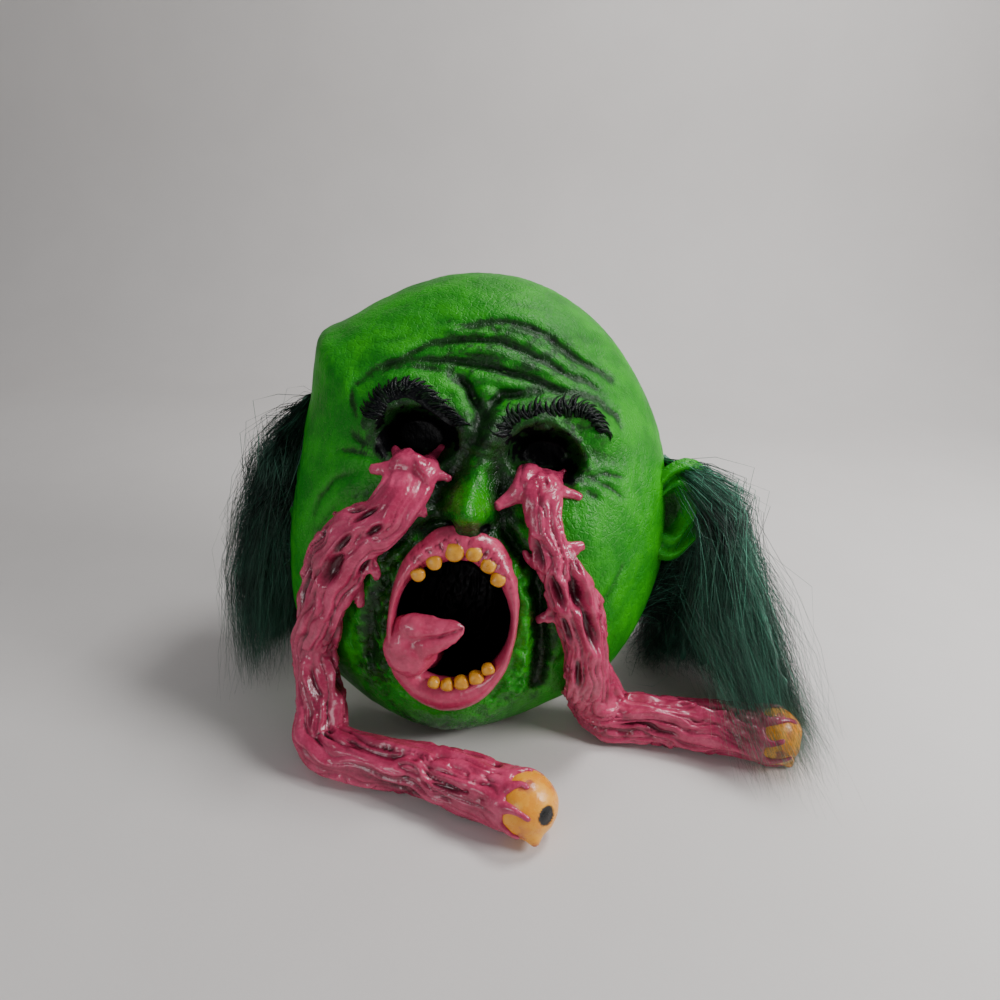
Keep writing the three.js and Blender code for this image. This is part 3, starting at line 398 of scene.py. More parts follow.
strands = {
    "eyeRadius": 17, "width": 34, "thick": 20, "prongRadius": 4.5, "voxel": 0.9, "drips": 8,
    "twist": 110, "cutDepth": 1.9, "fineDepth": 0.5, "pitDepth": 1.8, "swellDepth": 3.4, "rimRise": 1.1,
    "left": {
        "bend": (-0.84, -0.33), "heading": -20, "run": 126,
        "cheek": table("x h width thick", [
            (-0.33, 0.42, 0.9, 0.5),
            (-0.36, 0.29, 0.8, 0.65),
            (-0.43, 0.17, 0.85, 0.7),
            (-0.56, 0.07, 1.05, 0.8),
            (-0.64, -0.05, 1.2, 0.9),
            (-0.68, -0.18, 1.05, 1),
            (-0.69, -0.32, 0.9, 1.2),
            (-0.71, -0.44, 0.85, 1.3),
        ]),
        "table": table("along side lift width thick", [
            (-0.03, 0.3, 0.45, 0.9, 0.75),
            (0.02, 0, 0, 0.9, 0.8),
            (0.22, -0.08, -0.02, 0.85, 0.85),
            (0.45, 0, 0, 0.85, 0.85),
            (0.7, 0.05, 0, 0.95, 0.9),
        ]),
        "prongs": table("from to size", [
            ((-0.38, 0.4), (-0.53, 0.37), 1.2),
            ((-0.36, 0.4), (-0.44, 0.455), 1.3),
            ((-0.29, 0.4), (-0.22, 0.485), 1.2),
            ((-0.27, 0.4), (-0.16, 0.36), 0.9),
            ((-0.34, 0.3), (-0.25, 0.205), 1.0),
            ((-0.5, 0.11), (-0.7, 0.16), 1.1),
            ((-0.5, -0.02), (-0.4, -0.06), 1.0),
            ((-0.56, -0.12), (-0.47, -0.2), 1.0),
        ]),
        "holes": table("at long wide deep", [
            ((-0.64, -0.05), 10, 4.5, 5),
            ((-0.455, 0.14), 5, 1.8, 3),
            ((-0.485, -0.03), 5, 2.2, 4),
            ((-0.51, 0.19), 8, 1.6, 2.5),
            ((-0.6, 0.06), 7, 2.2, 3),
            ((-0.55, -0.52), 13, 3.2, 5),
        ]),
    },
    "right": {
        "bend": (0.59, 0.07), "heading": -9, "run": 103,
        "cheek": table("x h width thick", [
            (0.26, 0.45, 1, 0.5),
            (0.285, 0.36, 0.62, 0.7),
            (0.31, 0.27, 0.5, 0.75),
            (0.37, 0.15, 0.56, 0.75),
            (0.47, 0.02, 0.85, 0.9),
            (0.55, -0.11, 0.85, 1),
            (0.62, -0.25, 0.8, 1.1),
            (0.65, -0.36, 0.9, 1.3),
        ]),
        "table": table("along side lift width thick", [
            (-0.03, 0.02, 0.4, 1, 0.75),
            (0.06, 0, 0, 0.95, 0.8),
            (0.3, 0, 0, 0.85, 0.85),
            (0.65, 0.03, 0, 0.95, 0.9),
        ]),
        "prongs": table("from to size", [
            ((0.24, 0.4), (0.15, 0.425), 1.2),
            ((0.2, 0.4), (0.08, 0.285), 1.2),
            ((0.31, 0.4), (0.39, 0.465), 1.1),
            ((0.32, 0.41), (0.47, 0.365), 1.0),
            ((0.42, 0.13), (0.52, 0.19), 1.1),
            ((0.52, 0.0), (0.68, -0.06), 1.3),
            ((0.62, -0.12), (0.75, -0.22), 1.2),
            ((0.44, -0.1), (0.36, -0.16), 1.0),
            ((0.32, 0.1), (0.24, 0.13), 0.8),
        ]),
        "holes": table("at long wide deep", [
            ((0.52, 0.0), 9, 4.0, 6),
            ((0.425, 0.0), 9, 2.4, 5),
            ((0.62, -0.15), 12, 3.4, 6),
            ((0.31, 0.14), 8, 1.8, 3),
            ((0.5, -0.16), 8, 1.8, 3),
            ((0.6, -0.36), 10, 2.0, 3),
        ]),
    },
}


def eyePlace(strand):
    angle = math.radians(strand["heading"])
    along = np.array([math.cos(angle), math.sin(angle), 0])
    bend = np.array([strand["bend"][0] * halfWidth, strand["bend"][1] * casting["depth"], 0])
    eye = bend + along * strand["run"]
    eye[2] = strands["eyeRadius"] - casting["footTrim"] / 2
    return bend, along, eye


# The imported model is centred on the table, so one eyeball gives the way from the face's own frame.
low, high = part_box("eyeball_left")
shift = np.array((low + high) / 2) / mm - eyePlace(strands["left"])[2]
shift[2] = 0


def toTable(points):
    return (np.asarray(points) @ standing.T + faceCentre + shift) * mm


def turned(vectors):
    return np.asarray(vectors) @ standing.T


def findPlace(x, h):
    u, v = x / 1.4, h / 1.4
    for attempt in range(40):
        found = smoothSkin(u, v)[0]
        u = u + 0.5 * (x - found[..., 0] / halfWidth)
        v = v + 0.5 * (h - found[..., 2] / halfHeight)
        out = np.maximum(1, np.hypot(u, v))
        u, v = u / out, v / out
    return u, v


def onFace(x, h, lift=0.0):
    u, v = findPlace(np.asarray(x, float), np.asarray(h, float))
    points = sculptedSkin(u, v, False)
    points[..., 1] -= lift
    return points


def faceNormal(x, h):
    return skinNormal(*findPlace(np.asarray(x, float), np.asarray(h, float)))


def onMouthPlane(x, h, lift=0.0):
    u, v = findPlace(np.asarray(x, float), np.asarray(h, float))
    points = smoothSkin(u, v)[0]
    points[..., 1] -= face["muzzleRise"] + lift
    return points


def onSide(turn, out, lift):
    angle = np.radians(turn)
    u, v = out * np.cos(angle), out * np.sin(angle)
    return sculptedSkin(u, v, False) + skinNormal(u, v) * np.asarray(lift)[..., None]


# Small helpers for pieces.
def only(piece):
    bpy.ops.object.select_all(action="DESELECT")
    piece.select_set(True)
    bpy.context.view_layer.objects.active = piece


def added(name, primitive, **settings):
    bpy.ops.object.select_all(action="DESELECT")
    getattr(bpy.ops.mesh, "primitive_" + primitive + "_add")(**settings)
    piece = bpy.context.object
    piece.name = name
    piece.data.name = name
    return piece


def sheet(name, across, up):
    return added(name, "grid", x_subdivisions=across, y_subdivisions=up, size=2)


def corners(piece):
    flat = np.zeros(len(piece.data.vertices) * 3)
    piece.data.vertices.foreach_get("co", flat)
    return flat.reshape(-1, 3)


def moveCorners(piece, points):
    piece.data.vertices.foreach_set("co", np.asarray(points, float).ravel())
    piece.data.update()


def cornerNormals(piece):
    normals = np.zeros(len(piece.data.vertices) * 3)
    piece.data.vertices.foreach_get("normal", normals)
    return normals.reshape(-1, 3)


deepest = 1.2


def keptOff(points):
    # What sits on the casting sinks no deeper than this into its wall, so nothing shows inside it.
    found = np.array([skinTree.find(point)[1] for point in points])
    away = points - skinPoints[found]
    depth = np.sum(away * skinFacing[found], axis=1)
    aside = np.linalg.norm(away - skinFacing[found] * depth[:, None], axis=1)
    sunk = (depth < -deepest) & (aside < 3.0)
    return points + skinFacing[found] * np.where(sunk, -deepest - depth, 0)[:, None]


def edited(piece, *steps):
    only(piece)
    bpy.ops.object.mode_set(mode="EDIT")
    bpy.ops.mesh.select_all(action="SELECT")
    for step, settings in steps:
        getattr(bpy.ops.mesh, step)(**settings)
    bpy.ops.object.mode_set(mode="OBJECT")


def modified(piece, kind, **settings):
    only(piece)
    modifier = piece.modifiers.new(kind.lower(), kind)
    for name, value in settings.items():
        setattr(modifier, name, value)
    bpy.ops.object.modifier_apply(modifier=modifier.name)


def smoothShaded(piece):
    only(piece)
    bpy.ops.object.shade_smooth()


def joined(name, pieces):
    only(pieces[0])
    for piece in pieces[1:]:
        piece.select_set(True)
    bpy.ops.object.join()
    whole = bpy.context.object
    whole.name = name
    whole.data.name = name
    return whole


def marked(piece, name, values):
    layer = piece.data.attributes.new(name, "FLOAT", "POINT")
    layer.data.foreach_set("value", np.clip(values, 0, 1).astype(np.float32))


def finished(piece, material, slot, *nodes):
    smoothShaded(piece)
    piece.data.materials.clear()
    piece.data.materials.append(material)
    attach(piece, "root")
    if nodes:
        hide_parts(*nodes)
    return piece


def closedSeams(piece):
    edited(piece, ("remove_doubles", {"threshold": 1e-6}), ("normals_make_consistent", {"inside": False}))


def curveThrough(stops, places):
    stops = np.asarray(stops, float)
    last = len(stops) - 1
    padded = np.vstack([2 * stops[0] - stops[1], stops, 2 * stops[-1] - stops[-2]])
    i = np.clip(np.floor(places).astype(int), 0, last - 1)
    t = (places - i)[:, None]
    p0, p1, p2, p3 = padded[i], padded[i + 1], padded[i + 2], padded[i + 3]
    d0 = np.maximum(np.linalg.norm(p1 - p0, axis=1), 1e-3)[:, None] ** 0.5
    d1 = np.maximum(np.linalg.norm(p2 - p1, axis=1), 1e-3)[:, None] ** 0.5
    d2 = np.maximum(np.linalg.norm(p3 - p2, axis=1), 1e-3)[:, None] ** 0.5
    leave = ((p1 - p0) / d0 - (p2 - p0) / (d0 + d1) + (p2 - p1) / d1) * d1
    arrive = ((p2 - p1) / d1 - (p3 - p1) / (d1 + d2) + (p3 - p2) / d2) * d1
    return (p1 + leave * t + (3 * (p2 - p1) - 2 * leave - arrive) * t ** 2 +
            (2 * (p1 - p2) + leave + arrive) * t ** 3)


def columnAt(values, places):
    values = np.asarray(values, float)
    stops = np.arange(len(values))
    if values.ndim == 1:
        return np.interp(places, stops, values)
    return np.stack([np.interp(places, stops, values[:, k]) for k in range(values.shape[1])], axis=-1)


def sweepFrame(rows, places):
    last = len(rows) - 1
    centres = [row["centre"] for row in rows]
    middle = curveThrough(centres, places)
    ahead = curveThrough(centres, np.clip(places + 0.01, 0, last))
    tangent = unit(ahead - curveThrough(centres, np.clip(places - 0.01, 0, last)))
    thick = columnAt([row["normal"] for row in rows], places)
    wide = unit(np.cross(tangent, thick))
    thick = unit(np.cross(wide, tangent))
    return middle, tangent, wide, thick


def swept(name, rows, sides, steps, capShare=0.04):
    piece = sheet(name, sides, steps)
    flat = corners(piece)
    angle = np.pi * (flat[:, 0] + 1)
    share = (flat[:, 1] + 1) / 2
    last = len(rows) - 1
    places = share * last
    middle, _, wide, thick = sweepFrame(rows, places)
    fromEnd = np.minimum(share, 1 - share) / capShare
    shrink = np.sqrt(np.clip(1 - (1 - np.clip(fromEnd, 0, 1)) ** 2, 0, 1))
    across = columnAt([row["width"] for row in rows], places) * shrink
    over = columnAt([row["thick"] for row in rows], places) * shrink
    under = columnAt([row.get("under", row["thick"]) for row in rows], places) * shrink
    lift = np.sin(angle)
    depth = np.where(lift > 0, over, under) * lift
    points = middle + wide * (across * np.cos(angle))[:, None] + thick * depth[:, None]
    moveCorners(piece, points * mm)
    closedSeams(piece)
    return piece


# Shader wiring: a socket that takes part in Python sums, and one method for any other node.
class Wire:
    def __init__(self, tree, socket=None):
        self.tree, self.socket = tree, socket

    def feed(self, target, value):
        if isinstance(value, Wire):
            self.tree.links.new(value.socket, target)
        else:
            target.default_value = value

    def node(self, kind, settings, values, output=0):
        made = self.tree.nodes.new("ShaderNode" + kind)
        for name, setting in settings.items():
            if name == "stops":
                for i, (place, colour) in enumerate(setting):
                    stop = made.color_ramp.elements[i] if i < 2 else made.color_ramp.elements.new(place)
                    stop.position, stop.color = place, colour
            else:
                setattr(made, name, setting)
        for key, value in values.items():
            self.feed(made.inputs[key], value)
        return Wire(self.tree, made.outputs[output])

    def maths(self, operation, *values):
        return self.node("Math", {"operation": operation}, dict(enumerate(values)))

    def vector(self, operation, *values):
        return self.node("VectorMath", {"operation": operation}, dict(enumerate(values)))

    def __add__(self, other):
        if isinstance(other, Wire) and "VECTOR" in (self.socket.type, other.socket.type):
            return self.vector("ADD", self, other)
        return self.maths("ADD", self, other)

    def __sub__(self, other):
        return self.maths("SUBTRACT", self, other)

    def __rsub__(self, other):
        return self.maths("SUBTRACT", other, self)

    def __mul__(self, other):
        if self.socket.type in ("VECTOR", "RGBA"):
            return self.node("VectorMath", {"operation": "SCALE"}, {0: self, "Scale": other})
        return self.maths("MULTIPLY", self, other)

    __radd__ = __add__
    __rmul__ = __mul__

    def between(self, low, high):
        limits = {"Value": self, "From Min": low, "From Max": high}
        return self.node("MapRange", {"interpolation_type": "SMOOTHSTEP"}, limits)

    def colour(self, first, second):
        return self.node("Mix", {"data_type": "RGBA"}, {0: self, 6: first, 7: second}, 2)


def rgb(red, green, blue):
    return (red, green, blue, 1)


def material(name, constants):
    made = bpy.data.materials.new(name)
    made.use_nodes = True
    tree = made.node_tree
    tree.nodes.clear()
    shader = tree.nodes.new("ShaderNodeBsdfPrincipled")
    output = tree.nodes.new("ShaderNodeOutputMaterial")
    tree.links.new(shader.outputs[0], output.inputs["Surface"])
    for socket, value in constants.items():
        shader.inputs[socket].default_value = value
    wire = Wire(tree)
    place = wire.node("TexCoord", {}, {}, "Object")
    return made, shader, wire, place


def speckle(place, size, detail=3.0, stretch=None, output="Fac"):
    vector = place
    if stretch:
        vector = place.node("Mapping", {}, {"Vector": place, "Scale": stretch})
    values = {"Vector": vector, "Scale": 1 / size, "Detail": detail, "Roughness": 0.6}
    return place.node("TexNoise", {}, values, output)


def cells(place, size, feature="F1"):
    return place.node("TexVoronoi", {"feature": feature}, {"Vector": place, "Scale": 1 / size}, "Distance")


def mark(wire, name):
    return wire.node("Attribute", {"attribute_name": name}, {}, "Fac")


def bumped(wire, shader, height, distance, strength):
    bump = wire.node("Bump", {}, {"Height": height, "Distance": distance, "Strength": strength})
    wire.feed(shader.inputs["Normal"], bump)


def covered(wire, share, shader, cover):
    blended = wire.node("MixShader", {}, {0: share, 1: Wire(wire.tree, shader.outputs[0]), 2: cover})
    output = next(node for node in wire.tree.nodes if node.type == "OUTPUT_MATERIAL")
    wire.feed(output.inputs["Surface"], blended)


def greenLatexFinish():
    look = {
        "bright": rgb(0.022, 0.36, 0.003), "deep": rgb(0.007, 0.2, 0.002),
        "shade": rgb(0.004, 0.05, 0.003), "washAndShade": rgb(0.0015, 0.006, 0.002),
        "inside": rgb(0.05, 0.2, 0.03), "paint": rgb(0.0015, 0.0015, 0.002),
    }
    made, shader, wire, place = material("greenLatex", {"Specular IOR Level": 0.28})
    washAndShade, paint, gloss, inside = (mark(wire, name) for name in ("washAndShade", "paint", "gloss", "inside"))
    mottle = speckle(place, 0.022, 5).between(0.36, 0.66)
    flecks = speckle(place, 0.0035, 4).between(0.45, 0.75)
    base = (mottle * 0.75 + flecks * 0.25).colour(look["deep"], look["bright"])
    grainy = washAndShade + (flecks - 0.35) * 0.22 * washAndShade.between(0.05, 0.4)
    # The shade and darkest colours follow the darkening mark: airbrushed paint and painted shade in the
    # hollows.
    shaded = grainy.between(0.02, 0.6).colour(base, look["shade"])
    washed = grainy.between(0.6, 1.2).colour(shaded, look["washAndShade"])
    wire.feed(shader.inputs["Base Color"], inside.colour(washed, look["inside"]))
    wire.feed(shader.inputs["Roughness"], 0.46 - gloss * 0.26 + flecks * 0.08 + inside * 0.2)
    pores = cells(place, 0.0016)
    uneven = place + speckle(place, 0.004, 3, output="Color") * 0.0016
    cracks = 1 - cells(uneven, 0.0034, "DISTANCE_TO_EDGE").between(0, 0.16)
    lines = speckle(place, 0.0026, 4, (1, 1, 0.45))
    grain = pores * 0.25 + lines * 0.6 - cracks * 0.22 + speckle(place, 0.0008, 2) * 0.25
    bumped(wire, shader, grain, 0.0007, 0.9)
    matt = {"Base Color": look["paint"], "Roughness": 0.34, "Specular IOR Level": 0.1}
    black = wire.node("BsdfPrincipled", {}, matt)
    bump = wire.node("Bump", {}, {"Height": lines, "Distance": 0.0007})
    wire.feed(black.socket.node.inputs["Normal"], bump)
    covered(wire, paint.between(0.35, 0.65), shader, black)
    return made


def pinkLatexFinish(name, light, deep, dark):
    wet = {"Specular IOR Level": 0.4, "Coat Weight": 0.35, "Coat Roughness": 0.1}
    made, shader, wire, place = material(name, wet)
    washAndShade = mark(wire, "washAndShade")
    mottle = speckle(place, 0.012, 4).between(0.35, 0.68)
    streak = speckle(place, 0.0018, 3).between(0.4, 0.7)
    base = (mottle * 0.75 + streak * 0.25).colour(deep, light)
    # The dark colour follows the darkening mark: dark wash and painted shade.
    shaded = (washAndShade + (streak - 0.5) * 0.2 * washAndShade.between(0.0, 0.3)).between(0.02, 0.95).colour(base, dark)
    wire.feed(shader.inputs["Base Color"], shaded)
    wire.feed(shader.inputs["Roughness"], 0.18 + streak * 0.1 - washAndShade * 0.04)
    bumped(wire, shader, speckle(place, 0.0016, 4) + speckle(place, 0.0006, 2) * 0.3, 0.0003, 0.7)
    return made


def toothFinish():
    made, shader, wire, place = material("tooth", {"Specular IOR Level": 0.55})
    washAndShade = mark(wire, "washAndShade")
    mottle = speckle(place, 0.004, 4).between(0.3, 0.7)
    base = mottle.colour(rgb(0.6, 0.24, 0.014), rgb(0.78, 0.37, 0.026))
    wire.feed(shader.inputs["Base Color"], washAndShade.between(0.0, 1.0).colour(base, rgb(0.2, 0.05, 0.02)))
    wire.feed(shader.inputs["Roughness"], 0.26 + mottle * 0.12)
    bumped(wire, shader, speckle(place, 0.0012, 3), 0.0003, 0.6)
    return made


def eyeballFinish():
    made, shader, wire, place = material("eyeball", {"Specular IOR Level": 0.55})
    pupil, washAndShade = mark(wire, "pupil"), mark(wire, "washAndShade")
    mottle = speckle(place, 0.007, 4).between(0.35, 0.68)
    base = mottle.colour(rgb(0.82, 0.29, 0.014), rgb(0.92, 0.41, 0.024))
    stained = washAndShade.colour(base, rgb(0.42, 0.06, 0.06))
    wire.feed(shader.inputs["Base Color"], pupil.colour(stained, rgb(0.003, 0.003, 0.003)))
    wire.feed(shader.inputs["Roughness"], 0.24 + mottle * 0.1)
    bumped(wire, shader, speckle(place, 0.0014, 3), 0.0003, 0.6)
    return made


def bristleFinish():
    made, shader, wire, place = material("bristle", {"Specular IOR Level": 0.14})
    shade = mark(wire, "shade")
    fleck = speckle(place, 0.0015, 3).between(0.4, 0.7)
    black, green = rgb(0.0015, 0.002, 0.003), rgb(0.006, 0.026, 0.006)
    base = (shade * 0.7 + fleck * 0.3).between(0.3, 1.1).colour(black, green)
    wire.feed(shader.inputs["Base Color"], base)
    wire.feed(shader.inputs["Roughness"], 0.34 + fleck * 0.15)
    bumped(wire, shader, speckle(place, 0.0009, 3), 0.0002, 0.6)
    return made


def hairFinish():
    made, shader, wire, place = material("hair", {"Specular IOR Level": 0.4})
    shade = mark(wire, "shade")
    patch = speckle(place, 0.03, 3).between(0.35, 0.7)
    base = (shade * 0.85 + patch * 0.1).colour(rgb(0.001, 0.0035, 0.0025), rgb(0.24, 0.8, 0.52))
    wire.feed(shader.inputs["Base Color"], base)
    wire.feed(shader.inputs["Roughness"], 0.36 + patch * 0.12)
    return made


greenLatex = greenLatexFinish()
pinkLatex = pinkLatexFinish("pinkLatex", rgb(0.64, 0.07, 0.17), rgb(0.38, 0.024, 0.08),
                            rgb(0.08, 0.002, 0.014))
lipLatex = pinkLatexFinish("lipLatex", rgb(0.66, 0.08, 0.17), rgb(0.44, 0.034, 0.09),
                           rgb(0.12, 0.004, 0.02))
toothPaint = toothFinish()
eyePaint = eyeballFinish()
bristlePaint = bristleFinish()
hairFibre = hairFinish()
print("finishes ready")


def camera():
    view = {"focal": 752, "sensor": 36, "from": (0, -361, 325), "down": 25, "roll": 3, "frame": 1000,
            "near": 0.01, "far": 20}
    lens = bpy.data.cameras.new("camera")
    lens.sensor_width = view["sensor"]
    lens.lens = view["focal"] * view["sensor"] / view["frame"]
    lens.clip_start, lens.clip_end = view["near"], view["far"]
    eye = bpy.data.objects.new("camera", lens)
    bpy.context.scene.collection.objects.link(eye)
    spot = (np.array(view["from"]) + shift) * mm
    pitch = Matrix.Rotation(math.radians(90 - view["down"]), 4, "X")
    roll = Matrix.Rotation(math.radians(view["roll"]), 4, "Z")
    eye.matrix_world = Matrix.Translation(Vector(spot)) @ pitch @ roll
    bpy.context.scene.camera = eye


camera()


def softened(values, side, reach):
    grid = values.reshape(side, side)
    for axis in (0, 1):
        for passes in range(2):
            padded = np.pad(grid, [(reach, reach) if k == axis else (0, 0) for k in (0, 1)], mode="edge")
            total = np.cumsum(np.insert(padded, 0, 0, axis=axis), axis=axis)
            width = 2 * reach + 1
            if axis == 0:
                grid = (total[width:] - total[:-width]) / width
            else:
                grid = (total[:, width:] - total[:, :-width]) / width
    return grid.ravel()


def maskShell():
    washShadeAndGloss = {
        "cavity": 0.17, "narrow": 0.2, "wide": 0.022, "line": 0.02, "lowerLine": 0.06, "brow": 0.3,
        "crease": 0.2, "tip": 0.22, "tipBare": 0.8, "socket": 0.7, "speckled": 0.9,
        "wetMuzzle": 0.8, "wetWash": 0.25, "wetEye": 0.5, "wetEyeAt": (0.4, 0.42),
    }
    outer = sheet("maskShell", casting["outerCuts"], casting["outerCuts"])
    flat = corners(outer)
    side = int(round(math.sqrt(len(flat))))
    order = np.lexsort((flat[:, 0], flat[:, 1]))
    u, v = pressed(flat[:, 0], flat[:, 1])
    bare, fade = smoothSkin(u, v)
    x, h = bare[:, 0], bare[:, 2]
    height = (relief(x, h) + carving(x, h)) * fade
    points = bare.copy()
    points[:, 1] -= height
    normal = skinNormal(u, v)
    creases = noiseAt(points * (1.0, 1.0, 0.5), carve["creaseSize"], 4, 4.4)
    points += normal * (carve["crease"] * (0.35 - np.abs(creases)))[:, None]
    points += normal * (carve["swell"] * noiseAt(points, carve["swellSize"], 2, 2.2))[:, None]
    placed = toTable(points)
    placed[:, 2] = np.maximum(placed[:, 2], 0)
    moveCorners(outer, placed)

    # The darkening is partly the casting's airbrushed dark paint and partly painted shade: cavity and narrow
    # darken every hollow of the carving, and each groove darkens along its line.
    inOrder = height[order]
    cavity = np.empty(len(flat))
    cavity[order] = softened(inOrder, side, 6) - inOrder
    narrow = np.empty(len(flat))
    narrow[order] = softened(inOrder, side, 2) - inOrder
    grain = noiseAt(points, 5, 3, 6.6)
    muzzle = ovalShare(x, h, face["muzzle"])
    lower = smoothStep(0.3, -0.1, h / halfHeight)
    washAndShade = washShadeAndGloss["cavity"] * np.clip(cavity, 0, 3) + washShadeAndGloss["narrow"] * np.clip(narrow, 0, 1)
    washAndShade = washAndShade * (1 - 0.3 * lower)
    for groove in grooves:
        distance = alongLine(x, h, groove["line"])[0]
        washAndShade = washAndShade + washShadeAndGloss["wide"] * groove["depth"] * bell(distance, 3.2 * groove["width"]) * (1 + grain)
        narrowLine = (washShadeAndGloss["line"] + washShadeAndGloss["lowerLine"] * lower) * groove["depth"]
        washAndShade = washAndShade + narrowLine * bell(distance, 1.3 * groove["width"])
    for spot in airbrushAndShade:
        dx = (x - spot["at"][0] * halfWidth) / spot["across"]
        dh = (h - spot["at"][1] * halfHeight) / spot["up"]
        washAndShade = washAndShade + spot["strength"] * np.exp(-(dx ** 2 + dh ** 2)) * (1 + washShadeAndGloss["speckled"] * grain)
    for line in browLines.values():
        washAndShade = washAndShade + washShadeAndGloss["brow"] * bell(alongLine(x, h, line)[0], 7) * (1 + grain)
    # Painted highlight along the crests of the fine creases, painted shade beside them.
    creaseShadeAndHighlight = washShadeAndGloss["crease"] * smoothStep(0.0, 0.12, np.abs(creases)) - washShadeAndGloss["crease"] / 2
    washAndShade = washAndShade + creaseShadeAndHighlight * smoothStep(-0.2, 0.6, noiseAt(points, 40, 2, 1.1) + 0.2)
    # Round the nose tip the darkening is taken off the ball, and a broader darkening, painted shade, is laid
    # over the nose.
    onTip = fromPlace(x, h, face["tip"])
    washAndShade = washAndShade * (1 - washShadeAndGloss["tipBare"] * bell(onTip, 15)) + washShadeAndGloss["tip"] * bell(onTip, 24)
    dark = np.min([ovalShare(x, h, place) for place in darkSockets], axis=0) + 0.5 * grain
    paint = 1 - smoothStep(0.85, 1.05, dark)
    washAndShade = washAndShade + washShadeAndGloss["socket"] * (1 - smoothStep(1.0, 1.45, dark))
    paint = np.maximum(paint, 1 - smoothStep(0.99, 1.07, ovalShare(x, h, face["mouth"]) + 0.05 * grain))
    for nostril in face["nostrils"]:
        paint = np.maximum(paint, 1 - smoothStep(2.2, 3.8, fromPlace(x, h, nostril)))
    gloss = washShadeAndGloss["wetMuzzle"] * (1 - smoothStep(1.0, 1.5, muzzle)) + washShadeAndGloss["wetWash"] * np.clip(washAndShade, 0, 1)
    gloss = gloss + washShadeAndGloss["wetEye"] * bell(fromPlace(x, h, washShadeAndGloss["wetEyeAt"]), 22)

    inner = sheet("maskInside", casting["innerCuts"], casting["innerCuts"])
    flatIn = corners(inner)
    uIn, vIn = pressed(flatIn[:, 0], flatIn[:, 1])
    behind = sculptedSkin(uIn, vIn) - skinNormal(uIn, vIn) * casting["wall"]
    placedIn = toTable(behind)
    placedIn[:, 2] = np.maximum(placedIn[:, 2], 0)
    moveCorners(inner, placedIn)
    edited(inner, ("flip_normals", {}))
    for name, values in (("washAndShade", washAndShade), ("paint", paint), ("gloss", gloss), ("inside", 0 * washAndShade)):
        marked(outer, name, values)
    skin = KDTree(len(placed))
    for i, point in enumerate(placed / mm):
        skin.insert(point, i)
    skin.balance()
    facing = cornerNormals(outer)
    for name, value in (("washAndShade", 0), ("paint", 0), ("gloss", 0), ("inside", 1)):
        marked(inner, name, np.full(len(flatIn), float(value)))
    whole = joined("maskShell", [outer, inner])
    only(whole)
    bpy.ops.object.mode_set(mode="EDIT")
    bpy.ops.mesh.select_mode(type="EDGE")
    bpy.ops.mesh.select_all(action="DESELECT")
    bpy.ops.mesh.select_non_manifold(extend=False, use_wire=False, use_boundary=True, use_multi_face=False,
                                     use_non_contiguous=False, use_verts=False)
    bpy.ops.mesh.bridge_edge_loops()
    bpy.ops.mesh.select_mode(type="VERT")
    bpy.ops.object.mode_set(mode="OBJECT")
    finished(whole, greenLatex, "green_latex", "mask_shell")
    return skin, placed / mm, facing


skinTree, skinPoints, skinFacing = maskShell()
print("mask shell sculpted")


def ear(name, side, settings):
    piece = added(name, "uv_sphere", segments=96, ring_count=64, radius=1)
    ball = corners(piece)
    ball = np.stack([ball[:, 0], ball[:, 2], ball[:, 1]], axis=-1)  # poles to the front and back
    a, depth, b = ball[:, 0] * side, ball[:, 1], ball[:, 2]
    radius = np.hypot(a, b)
    angle = np.degrees(np.arctan2(b, a))
    outline = 1 + 0.05 * np.cos(np.radians(angle - 60) * 2) - 0.14 * bell(angle + 50, 30)
    front = depth < 0
    rimFade = smoothStep(-150, -95, angle) * (1 - smoothStep(150, 178, angle)) + smoothStep(178, 180, angle)
    helix = settings["helix"] * bell(radius - 0.87, 0.1) * rimFade
    scapha = -2.4 * bell(radius - 0.7, 0.08) * rimFade
    antihelix = 3.0 * bell(np.hypot(a + 0.12, b - 0.02) - 0.5, 0.09) * smoothStep(-0.5, 0.1, a + 0.3)
    concha = -settings["concha"] * (1 - smoothStep(0.22, 0.52, np.hypot((a + 0.2) / 0.9, (b + 0.02) / 1.15)))
    tragus = 4 * bell(np.hypot(a + 0.62, b + 0.08), 0.16)
    lobe = 2.2 * bell(np.hypot(a - 0.02, b + 0.78), 0.26)
    rise = (helix + scapha + antihelix + concha + tragus + lobe) * (1 - radius ** 10)
    thickness = settings["thick"] / 2
    y = depth * thickness
    y = np.where(front, y - rise, y - 0.3 * rise)
    wide = ball[:, 0] * settings["reach"] / 2 * outline
    high = b * settings["height"] / 2 * outline
    turn = np.array(Matrix.Rotation(side * settings["flare"], 3, "Z"))
    centre = np.array(settings["centre"]) * (halfWidth, casting["depth"], halfHeight)
    points = np.stack([wide, y, high], axis=-1) @ turn.T + centre
    normal = unit(points - points.mean(0))
    lumps = noiseAt(points, 12, 3, 7.7)
    points = points + normal * (0.8 * lumps)[:, None]
    moveCorners(piece, keptOff(toTable(points) / mm) * mm)
    edited(piece, ("normals_make_consistent", {"inside": False}))
    hollow = np.clip(-concha / settings["concha"], 0, 1) ** 1.5
    # The scapha and the bowl of the ear are darkened: dark wash and painted shade in these hollows.
    washAndShade = np.where(front, 0.3 * bell(radius - 0.7, 0.07) * rimFade + 0.45 * hollow, 0.1)
    washAndShade = washAndShade + 0.25 * np.clip(-lumps, 0, 1)
    marked(piece, "washAndShade", washAndShade)
    for name in ("paint", "inside"):
        marked(piece, name, 0 * washAndShade)
    marked(piece, "gloss", 0.3 + 0 * washAndShade)
    return finished(piece, greenLatex, "green_latex", "mask_shell")


